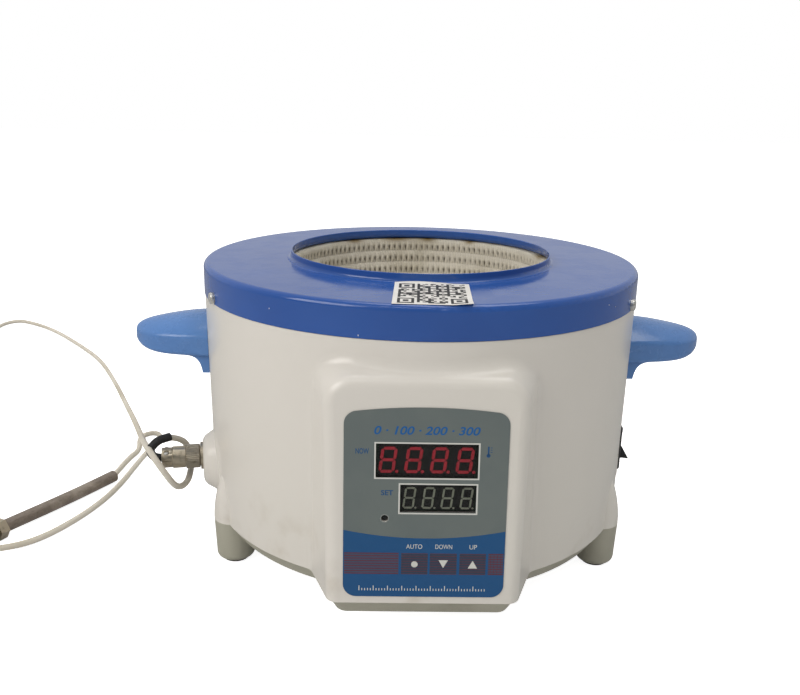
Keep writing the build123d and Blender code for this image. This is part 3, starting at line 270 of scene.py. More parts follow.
CORD_ACROSS = 4.2
CORD_LENGTH = 1865
CORD_ROUTE = [
    (-173.5, -36.9, 60.5), (-176.3, -35.3, 65), (-172.3, -29.5, 69.2), (-165.5, -23, 69.4),
    (-158.4, -14, 63.5), (-155.3, -11.5, 55.2), (-153.6, -16, 48.2), (-152.8, -24, 43.7), (-153, -34, 41.3),
    (-156.1, -41, 41), (-158.8, -46, 45.3), (-162.7, -49, 53.7), (-170.3, -47.5, 64.7),
    (-176.1, -37.9, 66.5), (-187.4, -10.3, 61), (-213.7, 63.2, 46), (-246.4, 148.4, 30),
    (-284.6, 247.5, 13), (-327.9, 346.2, 2.2), (-349, 381, 2.2), (-380.3, 422.8, 2.2), (-419.3, 471.6, 2.2),
    (-450.1, 503.4, 2.2), (-477.1, 524, 2.2), (-494, 532.5, 2.2), (-506, 522, 2.2), (-509, 498, 2.2),
    (-505, 455, 2.2), (-491, 400, 2.2), (-476, 350, 2.2), (-459, 302, 2.2), (-442, 255, 2.2),
    (-421, 204, 2.2), (-398, 150, 2.2), (-382, 95, 2.2), (-374, 39, 2.2), (-371, -17, 2.2),
    (-365, -63, 3.5), (-348, -88, 10), (-322, -97, 15), (-295, -84, 14), (-277, -66, 7),
    (-261.6, -51.2, 2.6), (-248.8, -37.3, 2.2), (-236.5, -12.3, 2.2), (-227.8, 14.6, 2.2),
    (-222.9, 43.8, 2.2), (-221.4, 74.6, 2.2), (-219.8, 102.7, 2.2), (-217.2, 123.4, 2.2),
    (-215.8, 138, 2.2), (-218.5, 148, 2.2), (-225, 151.5, 2.2), (-231, 147, 2.2), (-233.5, 137, 2.2),
    (-226.5, 113.4, 2.2), (-229.8, 96.9, 2.4), (-230.9, 76.9, 3.2), (-230.8, 55.2, 4.5),
]
PLUG_BEARING = math.radians(-78)
PLUG_END, PLUG_HEIGHT = 171.9, 59.5


def on_plug_line(reach):
    """A point on the socket's centre line, at a distance from the heater's axis."""
    return about_axis(reach * math.sin(PLUG_BEARING), -reach * math.cos(PLUG_BEARING), PLUG_HEIGHT)


def lay_cord():
    route = [on_plug_line(PLUG_END)] + [about_axis(*point) for point in CORD_ROUTE]
    line = bpy.data.curves.new("probe_cord", "CURVE")
    line.dimensions = "3D"
    line.bevel_depth = CORD_ACROSS / 2 * MM
    line.bevel_resolution = 3
    line.resolution_u = 8
    spline = line.splines.new("NURBS")
    spline.points.add(len(route) - 1)
    for knot, point in zip(spline.points, route):
        knot.co = (*point, 1)
    spline.order_u = 3
    spline.use_endpoint_u = True
    cord = bpy.data.objects.new("probe_cord", line)
    bpy.context.collection.objects.link(cord)
    braid = Finish("glass_braid", tint(222, 216, 203), 0.75)
    along = braid.add("TexCoord").outputs["UV"]
    strands = []
    for lean in (-1, 1):
        twist = braid.add("Mapping")
        twist.inputs["Scale"].default_value = (CORD_LENGTH / 3.0, 6 * lean, 1)
        braid.link(along, twist.inputs["Vector"])
        ply = braid.add("TexWave", Scale=1.0, bands_direction="DIAGONAL")
        braid.link(twist.outputs["Vector"], ply.inputs["Vector"])
        strands.append(ply.outputs["Fac"])
    over = braid.add("Math", operation="MULTIPLY")
    braid.link(strands[0], over.inputs[0])
    braid.link(strands[1], over.inputs[1])
    braid.relief(over.outputs[0], 0.25 * MM)
    braid.stain(tint(178, 166, 142), braid.cloud(9, 3, 0.4, 0.75), 0.5)
    line.materials.append(braid.material)
    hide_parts("sensor_cord")
    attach(cord, "mantle")


lay_cord()

sleeving = Finish("black_sleeving", tint(30, 30, 32), 0.6)
sleeving.relief(sleeving.cloud(900, 3), 0.1 * MM).on("cord_sleeve")

shrink = Finish("brown_shrink_tube", tint(118, 107, 96), 0.42)
shrink.stain(tint(156, 146, 133), shrink.cloud(60, 4, 0.4, 0.7, (1, 1, 1)), 0.7)
shrink.relief(shrink.cloud(260, 3), 0.5 * MM, 0.7).on("probe_sleeve")

plated = Finish("worn_nickel", tint(194, 183, 163), 0.36, metallic=0.9)
plated.stain(tint(122, 113, 96), plated.cloud(240, 5, 0.45, 0.75), 0.6)
plated.vary_roughness(plated.cloud(400, 4), 0.28, 0.5)
plated.on("probe_nuts", "sensor_socket", "socket_nut", "plug_barrel", "cord_clamp")

rod_steel = Finish("probe_steel", tint(176, 172, 165), 0.26, metallic=1.0)
rod_steel.relief(rod_steel.cloud(200, 2, 0.2, 0.8), 0.01 * MM).on("probe_rod")


# Base tray ------------------------------------------------------------------------------------
# Grey moulded tray with four hollow feet and vent slots. It locates in the casing on a lip, is
# screwed up from below and stands on four rubber pads.

tray = Finish("grey_moulding", tint(168, 166, 151), 0.48)
tray.stain(tint(134, 130, 114), tray.cloud(26, 5, 0.45, 0.8), 0.45)
tray.relief(tray.cloud(1600, 2), 0.03 * MM).on("base")
pad_rubber = Finish("black_rubber", tint(28, 28, 28), 0.8)
pad_rubber.relief(pad_rubber.cloud(700, 3), 0.1 * MM).on("foot_pads")
zinc = Finish("zinc_plate", tint(222, 222, 218), 0.38, metallic=0.8)
zinc.stain(tint(170, 166, 156), zinc.cloud(500, 4), 0.5)
zinc.on("base_screws", "cover_screws", "board_screws", "inlet_screws", "power_screws", "handle_screws")
zinc.on("clamp_screws")


# Casing ---------------------------------------------------------------------------------------
# The casing is one moulding in warm white plastic, with the control bulge, the socket's boss and
# the foot fairings drawn from the same wall. Handling has left it slightly soiled low down.

shell = Finish("warm_white_moulding", tint(216, 212, 205), 0.24)
shell.stain(tint(208, 206, 196), shell.cloud(7, 2, 0.2, 0.8), 0.4)
height_of = shell.add("SeparateXYZ")
shell.link(shell.place, height_of.inputs["Vector"])
low_down = shell.add("MapRange")
low_down.inputs["From Min"].default_value = 75 * MM
low_down.inputs["From Max"].default_value = 28 * MM
shell.link(height_of.outputs["Z"], low_down.inputs["Value"])
soiled = shell.add("Math", operation="MULTIPLY")
shell.link(low_down.outputs["Result"], soiled.inputs[0])
shell.link(shell.cloud(45, 6, 0.5, 0.8), soiled.inputs[1])
shell.stain(tint(170, 158, 136), soiled.outputs[0], 0.35)
shell.vary_roughness(shell.cloud(12, 2, 0.2, 0.8), 0.22, 0.27)
shell.relief(shell.cloud(250, 2, 0.2, 0.8), 0.01 * MM)
shell.on("housing")


# Power parts ----------------------------------------------------------------------------------
# Inside the tray's posts a laminate board carries the transformer, the switch device on its
# finned sink, the fuse and the terminals that feed the bowl through two sleeved leads.

laminate = Finish("green_laminate", tint(38, 92, 58), 0.4)
laminate.stain(tint(60, 120, 76), laminate.cloud(240, 2), 0.5).on("power_board", "control_board")
core = Finish("core_laminations", tint(92, 92, 96), 0.45, metallic=0.8)
core.relief(core.cloud(60, 1, stretch=(1, 30, 1)), 0.2 * MM).on("transformer")
bare_sheet = Finish("bare_aluminium", tint(188, 189, 190), 0.38, metallic=1.0)
bare_sheet.relief(bare_sheet.cloud(300, 3, stretch=(1, 1, 8)), 0.05 * MM).on("heat_sink", "inner_pan")
black_case = Finish("black_epoxy", tint(36, 36, 38), 0.5)
black_case.relief(black_case.cloud(1200, 2), 0.03 * MM).on("triac", "tact_switches")
black_case.on("display_upper", "display_lower")
clamp_green = Finish("green_terminal", tint(44, 110, 66), 0.42)
clamp_green.relief(clamp_green.cloud(900, 2), 0.03 * MM).on("terminal_block")
brass = Finish("plated_brass", tint(190, 168, 110), 0.3, metallic=1.0)
brass.stain(tint(150, 120, 70), brass.cloud(300, 3), 0.5).on("fuse", "inlet_pins")
lead_braid = Finish("lead_sleeving", tint(206, 198, 176), 0.8)
lead_braid.relief(lead_braid.cloud(1500, 2), 0.2 * MM).on("heater_leads")


# Control panel --------------------------------------------------------------------------------
# Two numeric display modules sit on the control board behind a smoked pane. Over it lies a printed
# polyester film with two windows, a lamp hole and three keys, which are pressed through the film.

PANEL_LEAN = 0.08
FILM_BOTTOM = -54.7
film_low, film_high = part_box("panel_film")
FILM_FOOT = Vector((AXIS.x, film_low.y, film_low.z))
UP_PANEL = Vector((0, PANEL_LEAN, 1)).normalized()
OUT_PANEL = Vector((0, -1, PANEL_LEAN)).normalized()


def on_panel(u, v, lift=0.0):
    """A point on the film's face: u to the right and v up from the display's datum, in millimetres."""
    return FILM_FOOT + (Vector((1, 0, 0)) * u + UP_PANEL * (v - FILM_BOTTOM) + OUT_PANEL * lift) * MM


def printed(name, shapes, lift, finish, body="mantle"):
    """A layer of ink: flat outlines on the film, each a list of points or a pair (points, faces)."""
    points, faces = [], []
    for shape in shapes:
        outline, parts = shape if isinstance(shape, tuple) else (shape, [list(range(len(shape)))])
        first = len(points)
        points += [on_panel(u, v, lift) for u, v in outline]
        faces += [[first + index for index in part] for part in parts]
    mesh = bpy.data.meshes.new(name)
    mesh.from_pydata(points, [], faces)
    mesh.materials.append(finish.material)
    layer = bpy.data.objects.new(name, mesh)
    bpy.context.collection.objects.link(layer)
    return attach(layer, body)


def block(u0, u1, v0, v1):
    return [(u0, v0), (u1, v0), (u1, v1), (u0, v1)]


def border(u0, u1, v0, v1, width):
    """A rectangular frame line."""
    outer, inner = block(u0, u1, v0, v1), block(u0 + width, u1 - width, v0 + width, v1 - width)
    return outer + inner, [[k, (k + 1) % 4, 4 + (k + 1) % 4, 4 + k] for k in range(4)]


def disc(u, v, radius, steps=32):
    turns = [math.tau * k / steps for k in range(steps)]
    return [(u + radius * math.cos(turn), v + radius * math.sin(turn)) for turn in turns]


def ring(u, v, inner, outer, steps=32):
    faces = [[k, (k + 1) % steps, steps + (k + 1) % steps, steps + k] for k in range(steps)]
    return disc(u, v, outer, steps) + disc(u, v, inner, steps), faces


def lettering(words, u0, u1, v0, v1, slope=0.0, weight=0.0):
    """Plain letters or numerals stretched to a box on the panel, as an outline with faces."""
    glyphs = bpy.data.curves.new("letters", "FONT")
    glyphs.body = words
    glyphs.shear = slope
    glyphs.offset = weight
    holder = bpy.data.objects.new("letters", glyphs)
    bpy.context.collection.objects.link(holder)
    mesh = bpy.data.meshes.new_from_object(holder.evaluated_get(bpy.context.evaluated_depsgraph_get()))
    xs = [vertex.co.x for vertex in mesh.vertices]
    ys = [vertex.co.y for vertex in mesh.vertices]
    wide, tall = (u1 - u0) / (max(xs) - min(xs)), (v1 - v0) / (max(ys) - min(ys))
    outline = [(u0 + (x - min(xs)) * wide, v0 + (y - min(ys)) * tall) for x, y in zip(xs, ys)]
    faces = [list(face.vertices) for face in mesh.polygons]
    bpy.data.objects.remove(holder)
    bpy.data.curves.remove(glyphs)
    bpy.data.meshes.remove(mesh)
    return outline, faces


film = Finish("grey_film", tint(103, 112, 110), 0.42)
film.stain(tint(92, 103, 104), film.cloud(30, 3), 0.4)
film.relief(film.cloud(2500, 2), 0.01 * MM).on("panel_film")


def ink(name, r, g, b):
    colour = Finish(name, tint(r, g, b), 0.42)
    return colour.relief(colour.cloud(2500, 2), 0.01 * MM)


blue_ink = ink("blue_ink", 2, 76, 128)
slate_ink = ink("slate_ink", 60, 72, 100)
maroon_ink = ink("maroon_ink", 92, 46, 62)
key_ink = ink("key_ink", 46, 57, 79)
white_ink = ink("white_ink", 205, 206, 200)
title_ink = ink("title_ink", 8, 88, 152)
caption_ink = ink("caption_ink", 16, 74, 124)

FILM_SIDE = 43.2
BLUE_EDGE, BLUE_SAG = -16.7, 4.4
CORNER = 7.0


def blue_field():
    """Lower field with a sagging upper edge and the film's own round corners below."""
    w, low = FILM_SIDE - 0.05, FILM_BOTTOM + 0.05
    edge = []
    for step in range(41):
        u = w - 2 * w * step / 40
        edge.append((u, BLUE_EDGE - BLUE_SAG * (1 - (u / w) ** 2)))
    corner_left = [
        (-w + CORNER - CORNER * math.cos(a), low + CORNER - CORNER * math.sin(a))
        for a in (math.pi / 2 * k / 8 for k in range(9))
    ]
    corner_right = [(-u, v) for u, v in reversed(corner_left)]
    return edge + corner_left + corner_right


printed("film_blue_field", [blue_field()], 0.02, blue_ink)

BAND_LOW, BAND_HIGH = -41.6, -29.9
STRIPES = 8
KEY_PLATES = [("key_auto", -12.1, 2.1), ("key_down", 3.2, 17.6), ("key_up", 19.1, 33.2)]


def stripe_field():
    fields = [(-42.6, -13.5), (34.5, 42.6)]
    pitch = (BAND_HIGH - BAND_LOW) / STRIPES
    lines = []
    for u0, u1 in fields:
        for row in range(STRIPES + 1):
            v = BAND_LOW + row * pitch * 0.985
            lines.append(block(u0, u1, v, v + 0.42 * pitch))
    return [block(u0, u1, BAND_LOW, BAND_HIGH) for u0, u1 in fields], lines


grounds, stripes = stripe_field()
printed("film_band_ground", grounds, 0.035, slate_ink)
printed("film_band_stripes", stripes, 0.05, maroon_ink)
uprights = [block(u, u + 0.35, BAND_LOW, BAND_HIGH) for u in (35.6, 37.4, 39.2, 41.0)]
printed("film_band_uprights", uprights, 0.06, maroon_ink)

signs = {}
signs["key_auto"] = [disc(-5.0, -35.9, 1.75)]
signs["key_down"] = [[(7.9, -33.4), (10.4, -37.9), (12.9, -33.4)]]
signs["key_up"] = [[(23.6, -38.0), (28.7, -38.0), (26.2, -33.5)]]
for name, left, right in KEY_PLATES:
    printed(f"film_plate_{name}", [block(left, right, BAND_LOW, BAND_HIGH)], 0.035, key_ink)
    rows = [block(left, right, BAND_LOW + k * 1.46, BAND_LOW + k * 1.46 + 0.3) for k in range(9)]
    printed(f"film_lines_{name}", rows, 0.045, maroon_ink)
    printed(f"film_sign_{name}", signs[name], 0.06, white_ink)

captions = [
    lettering("AUTO", -9.6, -1.0, -27.0, -24.5),
    lettering("DOWN", 6.0, 15.0, -27.0, -24.5),
    lettering("UP", 24.2, 28.2, -27.0, -24.5),
]
printed("film_captions", captions, 0.05, white_ink)
title = lettering("0 · 100 · 200 · 300", -27.4, 27.8, 36.2, 40.8, slope=0.22, weight=0.02)
printed("film_numerals", [title], 0.03, title_ink)
beside = [
    lettering("NOW", -37.0, -30.0, 25.6, 28.6, weight=0.02),
    lettering("SET", -23.4, -17.0, 2.9, 5.8, weight=0.02),
]
printed("film_window_words", beside, 0.03, caption_ink)


def thermometer(u, v, tall):
    """A small sign of a thermometer: a bulb under a round-topped stem, with three marks."""
    stem, bulb = 0.42, 1.05
    glass = [block(u - stem, u + stem, v + 1.0, v + tall - stem), disc(u, v + 0.95, bulb, 24)]
    marks = [block(u + 1.0, u + 2.0, v + tall * f, v + tall * f + 0.35) for f in (0.45, 0.65, 0.85)]
    return glass + [disc(u, v + tall - stem, stem, 16)] + marks


printed("film_degree_sign", thermometer(32.4, 24.4, 6.0), 0.03, caption_ink)
TICKS = 45
TICK_WIDE, TICK_FOOT = 0.44, -51.2
ticks = []
for k in range(TICKS):
    u = -34.5 + 67.5 * k / (TICKS - 1)
    top = -48.4 if k % 5 == 0 else -49.9
    ticks.append(block(u - TICK_WIDE / 2, u + TICK_WIDE / 2, TICK_FOOT, top))
printed("film_ruler", ticks, 0.05, white_ink)

UPPER = (-27.2, 28.1, 11.9, 32.1)
LOWER = (-14.2, 27.7, -7.5, 9.7)
frames = [border(*UPPER, 0.8), border(*LOWER, 0.8)]
printed("film_window_lines", frames, 0.03, white_ink)
LAMP = (-21.3, -10.0)
lamp_line = ink("lamp_line_ink", 140, 146, 142)
printed("film_lamp_line", [ring(*LAMP, 1.9, 2.3)], 0.03, lamp_line)

pane = Finish("smoked_pane", tint(22, 24, 22), 0.12, Alpha=0.34)
pane.vary_roughness(pane.cloud(60, 2), 0.08, 0.16).on("display_pane")
lens = Finish("lamp_lens", tint(22, 28, 28), 0.25)
lens.relief(lens.cloud(600, 2), 0.02 * MM).on("status_led")
key_core = Finish("key_moulding", tint(150, 150, 150), 0.5)
key_core.relief(key_core.cloud(900, 2), 0.02 * MM).on("key_auto", "key_down", "key_up")

SEGMENT_PLACES = [
    (0, 2, "across"), (0, 1, "across"), (0, 0, "across"),
    (0, 1, "up"), (1, 1, "up"), (0, 0, "up"), (1, 0, "up"),
]


def seven_segments(u, v, wide, tall, thick, slope):
    """One numeral of seven bars with a point, leaning right."""
    half, gap = tall / 2, 0.12 * thick
    shapes = []

    def leaned(points):
        return [(u + x + slope * y, v + y) for x, y in points]

    for column, row, way in SEGMENT_PLACES:
        x, y, t = column * wide, row * half, thick / 2
        if way == "across":
            a, b = gap, wide - gap
            bar = [(a, y), (a + t, y + t), (b - t, y + t), (b, y), (b - t, y - t), (a + t, y - t)]
        else:
            a, b = y + gap, y + half - gap
            bar = [(x, a), (x + t, a + t), (x + t, b - t), (x, b), (x - t, b - t), (x - t, a + t)]
        shapes.append(leaned(bar))
    shapes.append(disc(u + wide * 1.3, v, thick * 0.55, 12))
    return shapes


DIGIT_SLOPE = 0.13
DIGITS_BEHIND = -1.9


def digits(name, window, pitch, wide, tall, thick, left, foot, finish):
    """Four numerals on a module's face, placed from the left and lower edge of its window."""
    u0, _, v0, _ = window
    shapes = []
    for k in range(4):
        shapes += seven_segments(u0 + left + k * pitch, v0 + foot, wide, tall, thick, DIGIT_SLOPE)
    printed(name, shapes, DIGITS_BEHIND, finish)


red_bar = Finish("red_segment_painted_glow", tint(222, 74, 88), 0.4)
# Painted glow: the unlit red segments get a faint emission so that they show behind the pane.
red_bar.shader.inputs["Emission Color"].default_value = tint(220, 40, 60)
red_bar.shader.inputs["Emission Strength"].default_value = 0.35
red_bar.stain(tint(180, 60, 74), red_bar.cloud(120, 2), 0.6)
grey_bar = Finish("unlit_segment_painted_glow", tint(214, 220, 196), 0.4)
grey_bar.stain(tint(190, 198, 176), grey_bar.cloud(120, 2), 0.6)
# Painted glow: these unlit segments get a faint emission so that they show behind the pane.
grey_bar.shader.inputs["Emission Color"].default_value = tint(200, 206, 184)
grey_bar.shader.inputs["Emission Strength"].default_value = 0.08
digits("digits_upper", UPPER, 13.5, 6.9, 12.7, 1.6, 2.9, 3.6, red_bar)
digits("digits_lower", LOWER, 10.1, 5.0, 11.0, 1.1, 2.6, 2.9, grey_bar)


# Rocker switch --------------------------------------------------------------------------------
# A black snap-in rocker on a pad at the right-hand side. It is moulded in nylon.

nylon = Finish("black_nylon", tint(22, 22, 24), 0.3)
nylon.relief(nylon.cloud(1500, 2), 0.02 * MM).on("switch_body", "switch_rocker", "mains_inlet")


# Probe socket and plug ------------------------------------------------------------------------
# A nickel-plated screw connector on the casing's boss. The plug's coupling ring has a straight
# knurl, and a saddle with two screws grips the cord behind it.

KNURL_TEETH = 40
knurl = Finish("knurled_nickel", tint(178, 168, 150), 0.36, metallic=0.9)
knurl.stain(tint(116, 107, 90), knurl.cloud(260, 5, 0.45, 0.75), 0.6)
to_axis = knurl.add("Mapping", vector_type="TEXTURE")
to_axis.inputs["Location"].default_value = on_plug_line(150)
to_axis.inputs["Rotation"].default_value = (0, 0, math.pi / 2 + PLUG_BEARING)
knurl.link(knurl.place, to_axis.inputs["Vector"])
cross_section = knurl.add("SeparateXYZ")
knurl.link(to_axis.outputs["Vector"], cross_section.inputs["Vector"])
round_about = knurl.add("Math", operation="ARCTAN2")
knurl.link(cross_section.outputs["Z"], round_about.inputs[0])
knurl.link(cross_section.outputs["Y"], round_about.inputs[1])
teeth = knurl.add("Math", operation="MULTIPLY")
teeth.inputs[1].default_value = KNURL_TEETH
knurl.link(round_about.outputs[0], teeth.inputs[0])
wave = knurl.add("Math", operation="SINE")
knurl.link(teeth.outputs[0], wave.inputs[0])
knurl.relief(wave.outputs[0], 0.15 * MM).on("plug_ring")


# Heating bowl ---------------------------------------------------------------------------------
# A half sphere knitted from glass yarn round the heating wire. Its courses run round the bowl,
# the stitches of each course stand side by side, and its edge is tucked under the cover.

wool = Finish("glass_wool", tint(214, 206, 178), 0.9)
wool.relief(wool.cloud(400, 6), 0.8 * MM).on("insulation")

BOWL_RADIUS = 83.6
BOWL_CENTRE = 186.0
BOWL_TOP = 188.5
COURSES = 16
STITCH = 4.1
COURSE_PROUD, THREAD_PROUD, SLIT_DEEP = 0.8, 0.75, 2.2
SLIT_AT = 0.66
BOWL_TUCK = 97.0
STITCH_STEPS, COURSE_STEPS = 8, 8
SCORCHES = [(100, 9), (84, 4), (62, 3), (123, 5), (12, 5)]


def knit_bowl():
    points, faces, stitch_shading, scorches = [], [], [], []
    wall = BOWL_TOP - BOWL_CENTRE
    course = (wall + BOWL_RADIUS * math.pi / 2) / COURSES

    def place(along, turn, proud):
        """A point at a length down the bowl's wall from its top edge, and at a turn round it."""
        dip = max(0.0, along - wall) / BOWL_RADIUS
        reach = BOWL_RADIUS - proud
        z = BOWL_CENTRE - reach * math.sin(dip) + max(0.0, wall - along)
        across = reach * math.cos(dip)
        return about_axis(across * math.cos(turn), across * math.sin(turn), z)

    def scorch(along, turn):
        """Browning close under the collar, in a few places."""
        spots = [math.exp(-(((math.degrees(turn) - at) / spread) ** 2)) for at, spread in SCORCHES]
        return sum(spots) * max(0.0, 1 - along / 2.6)

    def strip(grid, shade_rows, marks):
        first, across = len(points), len(grid[0])
        for row, shade_row, mark in zip(grid, shade_rows, marks):
            points.extend(row)
            stitch_shading.extend(shade_row)
            scorches.extend(mark)
        for r in range(len(grid) - 1):
            for c in range(across):
                a, b = first + r * across + c, first + r * across + (c + 1) % across
                faces.append((a, b, b + across, a + across))

    for k in range(COURSES):
        dip = max(0.0, (k + 0.5) * course - wall) / BOWL_RADIUS
        stitches = max(10, round(math.tau * BOWL_RADIUS * math.cos(dip) / STITCH))
        columns = stitches * STITCH_STEPS
        grid, shade_rows, marks = [], [], []
        for r in range(COURSE_STEPS + 1):
            t = r / COURSE_STEPS
            along = (k + t) * course
            swell = math.sin(math.pi * t) ** 0.8 if 0 < t < 1 else 0.0
            row, shade_row, mark = [], [], []
            for c in range(columns):
                turn = math.tau * c / columns
                wander = noise.noise(Vector((9 * math.cos(turn), 9 * math.sin(turn), 0.8 * k + 0.5 * t)))
                s = c / STITCH_STEPS + 0.5 * (k % 2) + 0.12 * (t - 0.5)
                beside = (s + 0.5) % 1 - 0.5
                slit = math.exp(-((beside / 0.15) ** 2) - ((t - SLIT_AT) / 0.2) ** 2) * (1 + 0.3 * wander)
                lean = 0.22 * math.sin(math.pi * t)
                thread = abs(math.sin(math.tau * (s + lean))) * (0.35 + 0.65 * swell)
                proud = COURSE_PROUD * swell * (1 + 0.5 * wander) + THREAD_PROUD * thread - SLIT_DEEP * slit
                row.append(place(along, turn + 0.004 * wander, proud))
                # Painted shade: the yarn's colour value drops in the slits and between the threads.
                shade_row.append(0.55 + 0.45 * thread - 0.9 * slit)
                mark.append(scorch(along, turn))
            grid.append(row)
            shade_rows.append(shade_row)
            marks.append(mark)
        strip(grid, shade_rows, marks)
    tuck = 128
    lip, marks = [], []
    rim = BOWL_TOP + 0.2
    for reach, z in ((BOWL_RADIUS, BOWL_TOP), (BOWL_RADIUS + 0.7, rim), (BOWL_TUCK, rim)):
        turns = [math.tau * c / tuck for c in range(tuck)]
        lip.append([about_axis(reach * math.cos(turn), reach * math.sin(turn), z) for turn in turns])
        marks.append([scorch(0.0, turn) for turn in turns])
    strip(lip, [[0.8] * tuck] * len(lip), marks)
    mesh = bpy.data.meshes.new("knitted_bowl")
    mesh.from_pydata(points, [], faces)
    mesh.polygons.foreach_set("use_smooth", [True] * len(mesh.polygons))
    for name, values in (("painted_stitch_shade", stitch_shading), ("scorch", scorches)):
        mesh.attributes.new(name, "FLOAT", "POINT").data.foreach_set("value", values)
    bowl = bpy.data.objects.new("knitted_bowl", mesh)
    bpy.context.collection.objects.link(bowl)
    return bowl


def glass_yarn():
    yarn = Finish("glass_yarn", tint(222, 216, 202), 0.85)
    yarn.stain(tint(192, 184, 164), yarn.cloud(38, 4, 0.4, 0.72), 0.6)
    # Painted shade: the recessed slits and the gaps between threads are stained darker, standing in for
    # shade.
    height = yarn.add("Attribute", attribute_name="painted_stitch_shade").outputs["Fac"]
    painted_slit_shade = yarn.add("MapRange")
    painted_slit_shade.inputs["From Min"].default_value = 0.72
    painted_slit_shade.inputs["From Max"].default_value = 0.1
    yarn.link(height, painted_slit_shade.inputs["Value"])
    yarn.stain(tint(84, 78, 62), painted_slit_shade.outputs["Result"], 0.9)
    yarn.stain(tint(118, 92, 28), yarn.add("Attribute", attribute_name="scorch").outputs["Fac"], 0.9)
    yarn.relief(yarn.cloud(2200, 3, stretch=(1, 1, 0.3)), 0.25 * MM)
    return yarn


bowl = knit_bowl()
bowl.data.materials.append(glass_yarn().material)
nodes["heating_bowl"].data.materials.clear()
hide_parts("heating_bowl")
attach(bowl, "mantle")


# Cover ----------------------------------------------------------------------------------------
# Pressed steel sheet with a rolled shoulder and a drawn collar, stove-enamelled in glossy blue.
# Pan-head screws hold its skirt to the casing. A square paper label is stuck on its top.

enamel = Finish("blue_enamel", tint(44, 84, 156), 0.16)
enamel.stain(tint(34, 72, 142), enamel.cloud(9, 3, 0.4, 0.7), 0.5)
enamel.vary_roughness(enamel.cloud(60, 4), 0.12, 0.2)
enamel.relief(enamel.cloud(160, 2, 0.2, 0.8), 0.02 * MM)
enamel.on("top_cover")

CHIPS = [
    (-84.5, -109.8, 180.3, 0.55), (101.5, -93.4, 181.6, 0.5),
    (107.0, -87.6, 179.2, 0.4), (-36.0, -133.6, 172.6, 0.5),
]
LABEL_TURN = math.radians(-2.3)
LABEL_U = (-14.0, 28.0)
LABEL_V = (-137.6, -84.6)
LABEL_CELLS = 25
COLLAR_TALL, COLLAR_FOOT, COLLAR_FILLET = 5.4, 87.1, 2.5


def label_point(u, v, lift):
    """A point on the cover's top, in the label's own directions, bent up where it meets the collar."""
    x = u * math.cos(LABEL_TURN) - v * math.sin(LABEL_TURN)
    y = u * math.sin(LABEL_TURN) + v * math.cos(LABEL_TURN)
    z = cover_high.z / MM - COLLAR_TALL
    beyond = y + math.sqrt(COLLAR_FOOT**2 - x**2)
    if beyond > 0:
        bend = min(beyond / COLLAR_FILLET, math.pi / 2)
        reach = COLLAR_FOOT - (COLLAR_FILLET - lift) * math.sin(bend)
        rise = COLLAR_FILLET - (COLLAR_FILLET - lift) * math.cos(bend)
        up_wall = max(0.0, beyond - COLLAR_FILLET * math.pi / 2)
        return about_axis(x, -math.sqrt(reach**2 - x**2), z + rise + up_wall)
    return about_axis(x, y, z + lift)


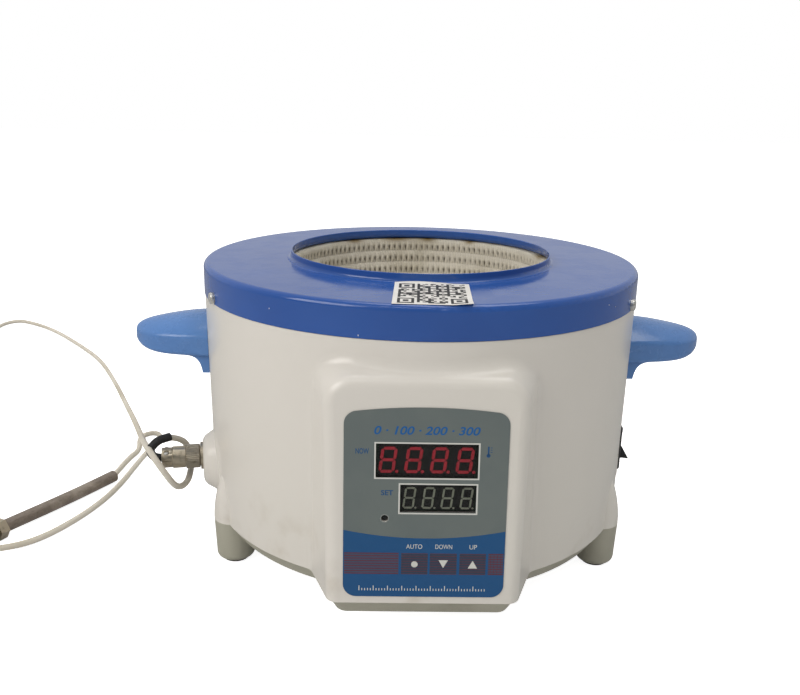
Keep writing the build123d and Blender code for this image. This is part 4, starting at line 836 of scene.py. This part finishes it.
def stick_label():
    """White paper label with a meaningless block pattern."""
    (u0, u1), (v0, v1) = LABEL_U, LABEL_V
    steps = 28

    def curl(u, v):
        corner = max(0.0, (u - u0) / (u1 - u0) - 0.75) * max(0.0, 0.3 - (v - v0) / (v1 - v0))
        return 0.15 + 14 * corner

    points, faces = [], []
    for j in range(steps + 1):
        for i in range(steps + 1):
            u, v = u0 + (u1 - u0) * i / steps, v0 + (v1 - v0) * j / steps
            points.append(label_point(u, v, curl(u, v)))
    for j in range(steps):
        for i in range(steps):
            a = j * (steps + 1) + i
            faces.append((a, a + 1, a + steps + 2, a + steps + 1))
    sheet = bpy.data.meshes.new("paper_label")
    sheet.from_pydata(points, [], faces)
    paper = Finish("white_paper", tint(226, 224, 220), 0.5)
    paper.stain(tint(206, 203, 198), paper.cloud(90, 3), 0.4)
    sheet.materials.append(paper.material)
    label = bpy.data.objects.new("paper_label", sheet)
    bpy.context.collection.objects.link(label)
    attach(label, "mantle")

    margin = 2.6
    cell_u, cell_v = (u1 - u0 - 2 * margin) / LABEL_CELLS, (v1 - v0 - 2 * margin) / LABEL_CELLS
    points, faces = [], []
    for j in range(LABEL_CELLS):
        for i in range(LABEL_CELLS):
            if not dark_cell(i, j):
                continue
            first = len(points)
            for du, dv in ((0, 0), (1, 0), (1, 1), (0, 1)):
                u, v = u0 + margin + (i + du) * cell_u, v0 + margin + (j + dv) * cell_v
                points.append(label_point(u, v, curl(u, v) + 0.06))
            faces.append((first, first + 1, first + 2, first + 3))
    blocks = bpy.data.meshes.new("label_blocks")
    blocks.from_pydata(points, [], faces)
    black = Finish("black_print", tint(20, 20, 22), 0.6)
    black.stain(tint(34, 34, 36), black.cloud(200, 3), 0.5)
    blocks.materials.append(black.material)
    print_layer = bpy.data.objects.new("label_blocks", blocks)
    bpy.context.collection.objects.link(print_layer)
    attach(print_layer, "mantle")


def dark_cell(i, j):
    """Which cells are printed: a scatter, with a plain square frame in three of the corners."""
    last = LABEL_CELLS - 1
    for ci, cj in ((0, 0), (last, 0), (0, last)):
        di, dj = abs(i - ci), abs(j - cj)
        if max(di, dj) <= 6:
            frame_line = max(di, dj) == 5 or min(di, dj) == 0 and max(di, dj) <= 5
            return frame_line or 2 <= di <= 3 and 2 <= dj <= 3
    return (i * 73856093 ^ j * 19349663 ^ i * j * 83492791) >> 4 & 1 == 1


stick_label()


def chip_enamel():
    """Small bare spots where the enamel has chipped on the skirt."""
    flecks = bmesh.new()
    for x, y, z, size in CHIPS:
        out = Vector((x, y, 0)).normalized()
        reach = (cover_high.x - cover_low.x) / 2
        centre = AXIS + out * (reach + 0.05 * MM) + Vector((0, 0, z * MM))
        along = Vector((-out.y, out.x, 0))
        corners = []
        for k in range(7):
            a = math.tau * k / 7
            r = size * MM * (0.7 + 0.5 * noise.noise(Vector((x, z, k))))
            up = Vector((0, 0, 1)) * r * math.sin(a)
            corners.append(flecks.verts.new(centre + along * r * math.cos(a) + up))
        flecks.faces.new(corners)
    mesh = bpy.data.meshes.new("enamel_chips")
    flecks.to_mesh(mesh)
    bare = Finish("chip_white", tint(190, 196, 206), 0.5)
    bare.stain(tint(150, 156, 170), bare.cloud(900, 3), 0.5)
    mesh.materials.append(bare.material)
    chips = bpy.data.objects.new("enamel_chips", mesh)
    bpy.context.collection.objects.link(chips)
    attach(chips, "mantle")


chip_enamel()


# Handles --------------------------------------------------------------------------------------
# Two solid tongue handles, moulded in a lighter glossy blue. Each is screwed through the casing
# wall from inside, with a curved gusset below.

grip = Finish("light_blue_moulding", tint(88, 130, 188), 0.2)
grip.stain(tint(78, 119, 178), grip.cloud(20, 4), 0.5)
grip.vary_roughness(grip.cloud(90, 4), 0.18, 0.3)
grip.relief(grip.cloud(500, 2), 0.02 * MM).on("handle_left", "handle_right")
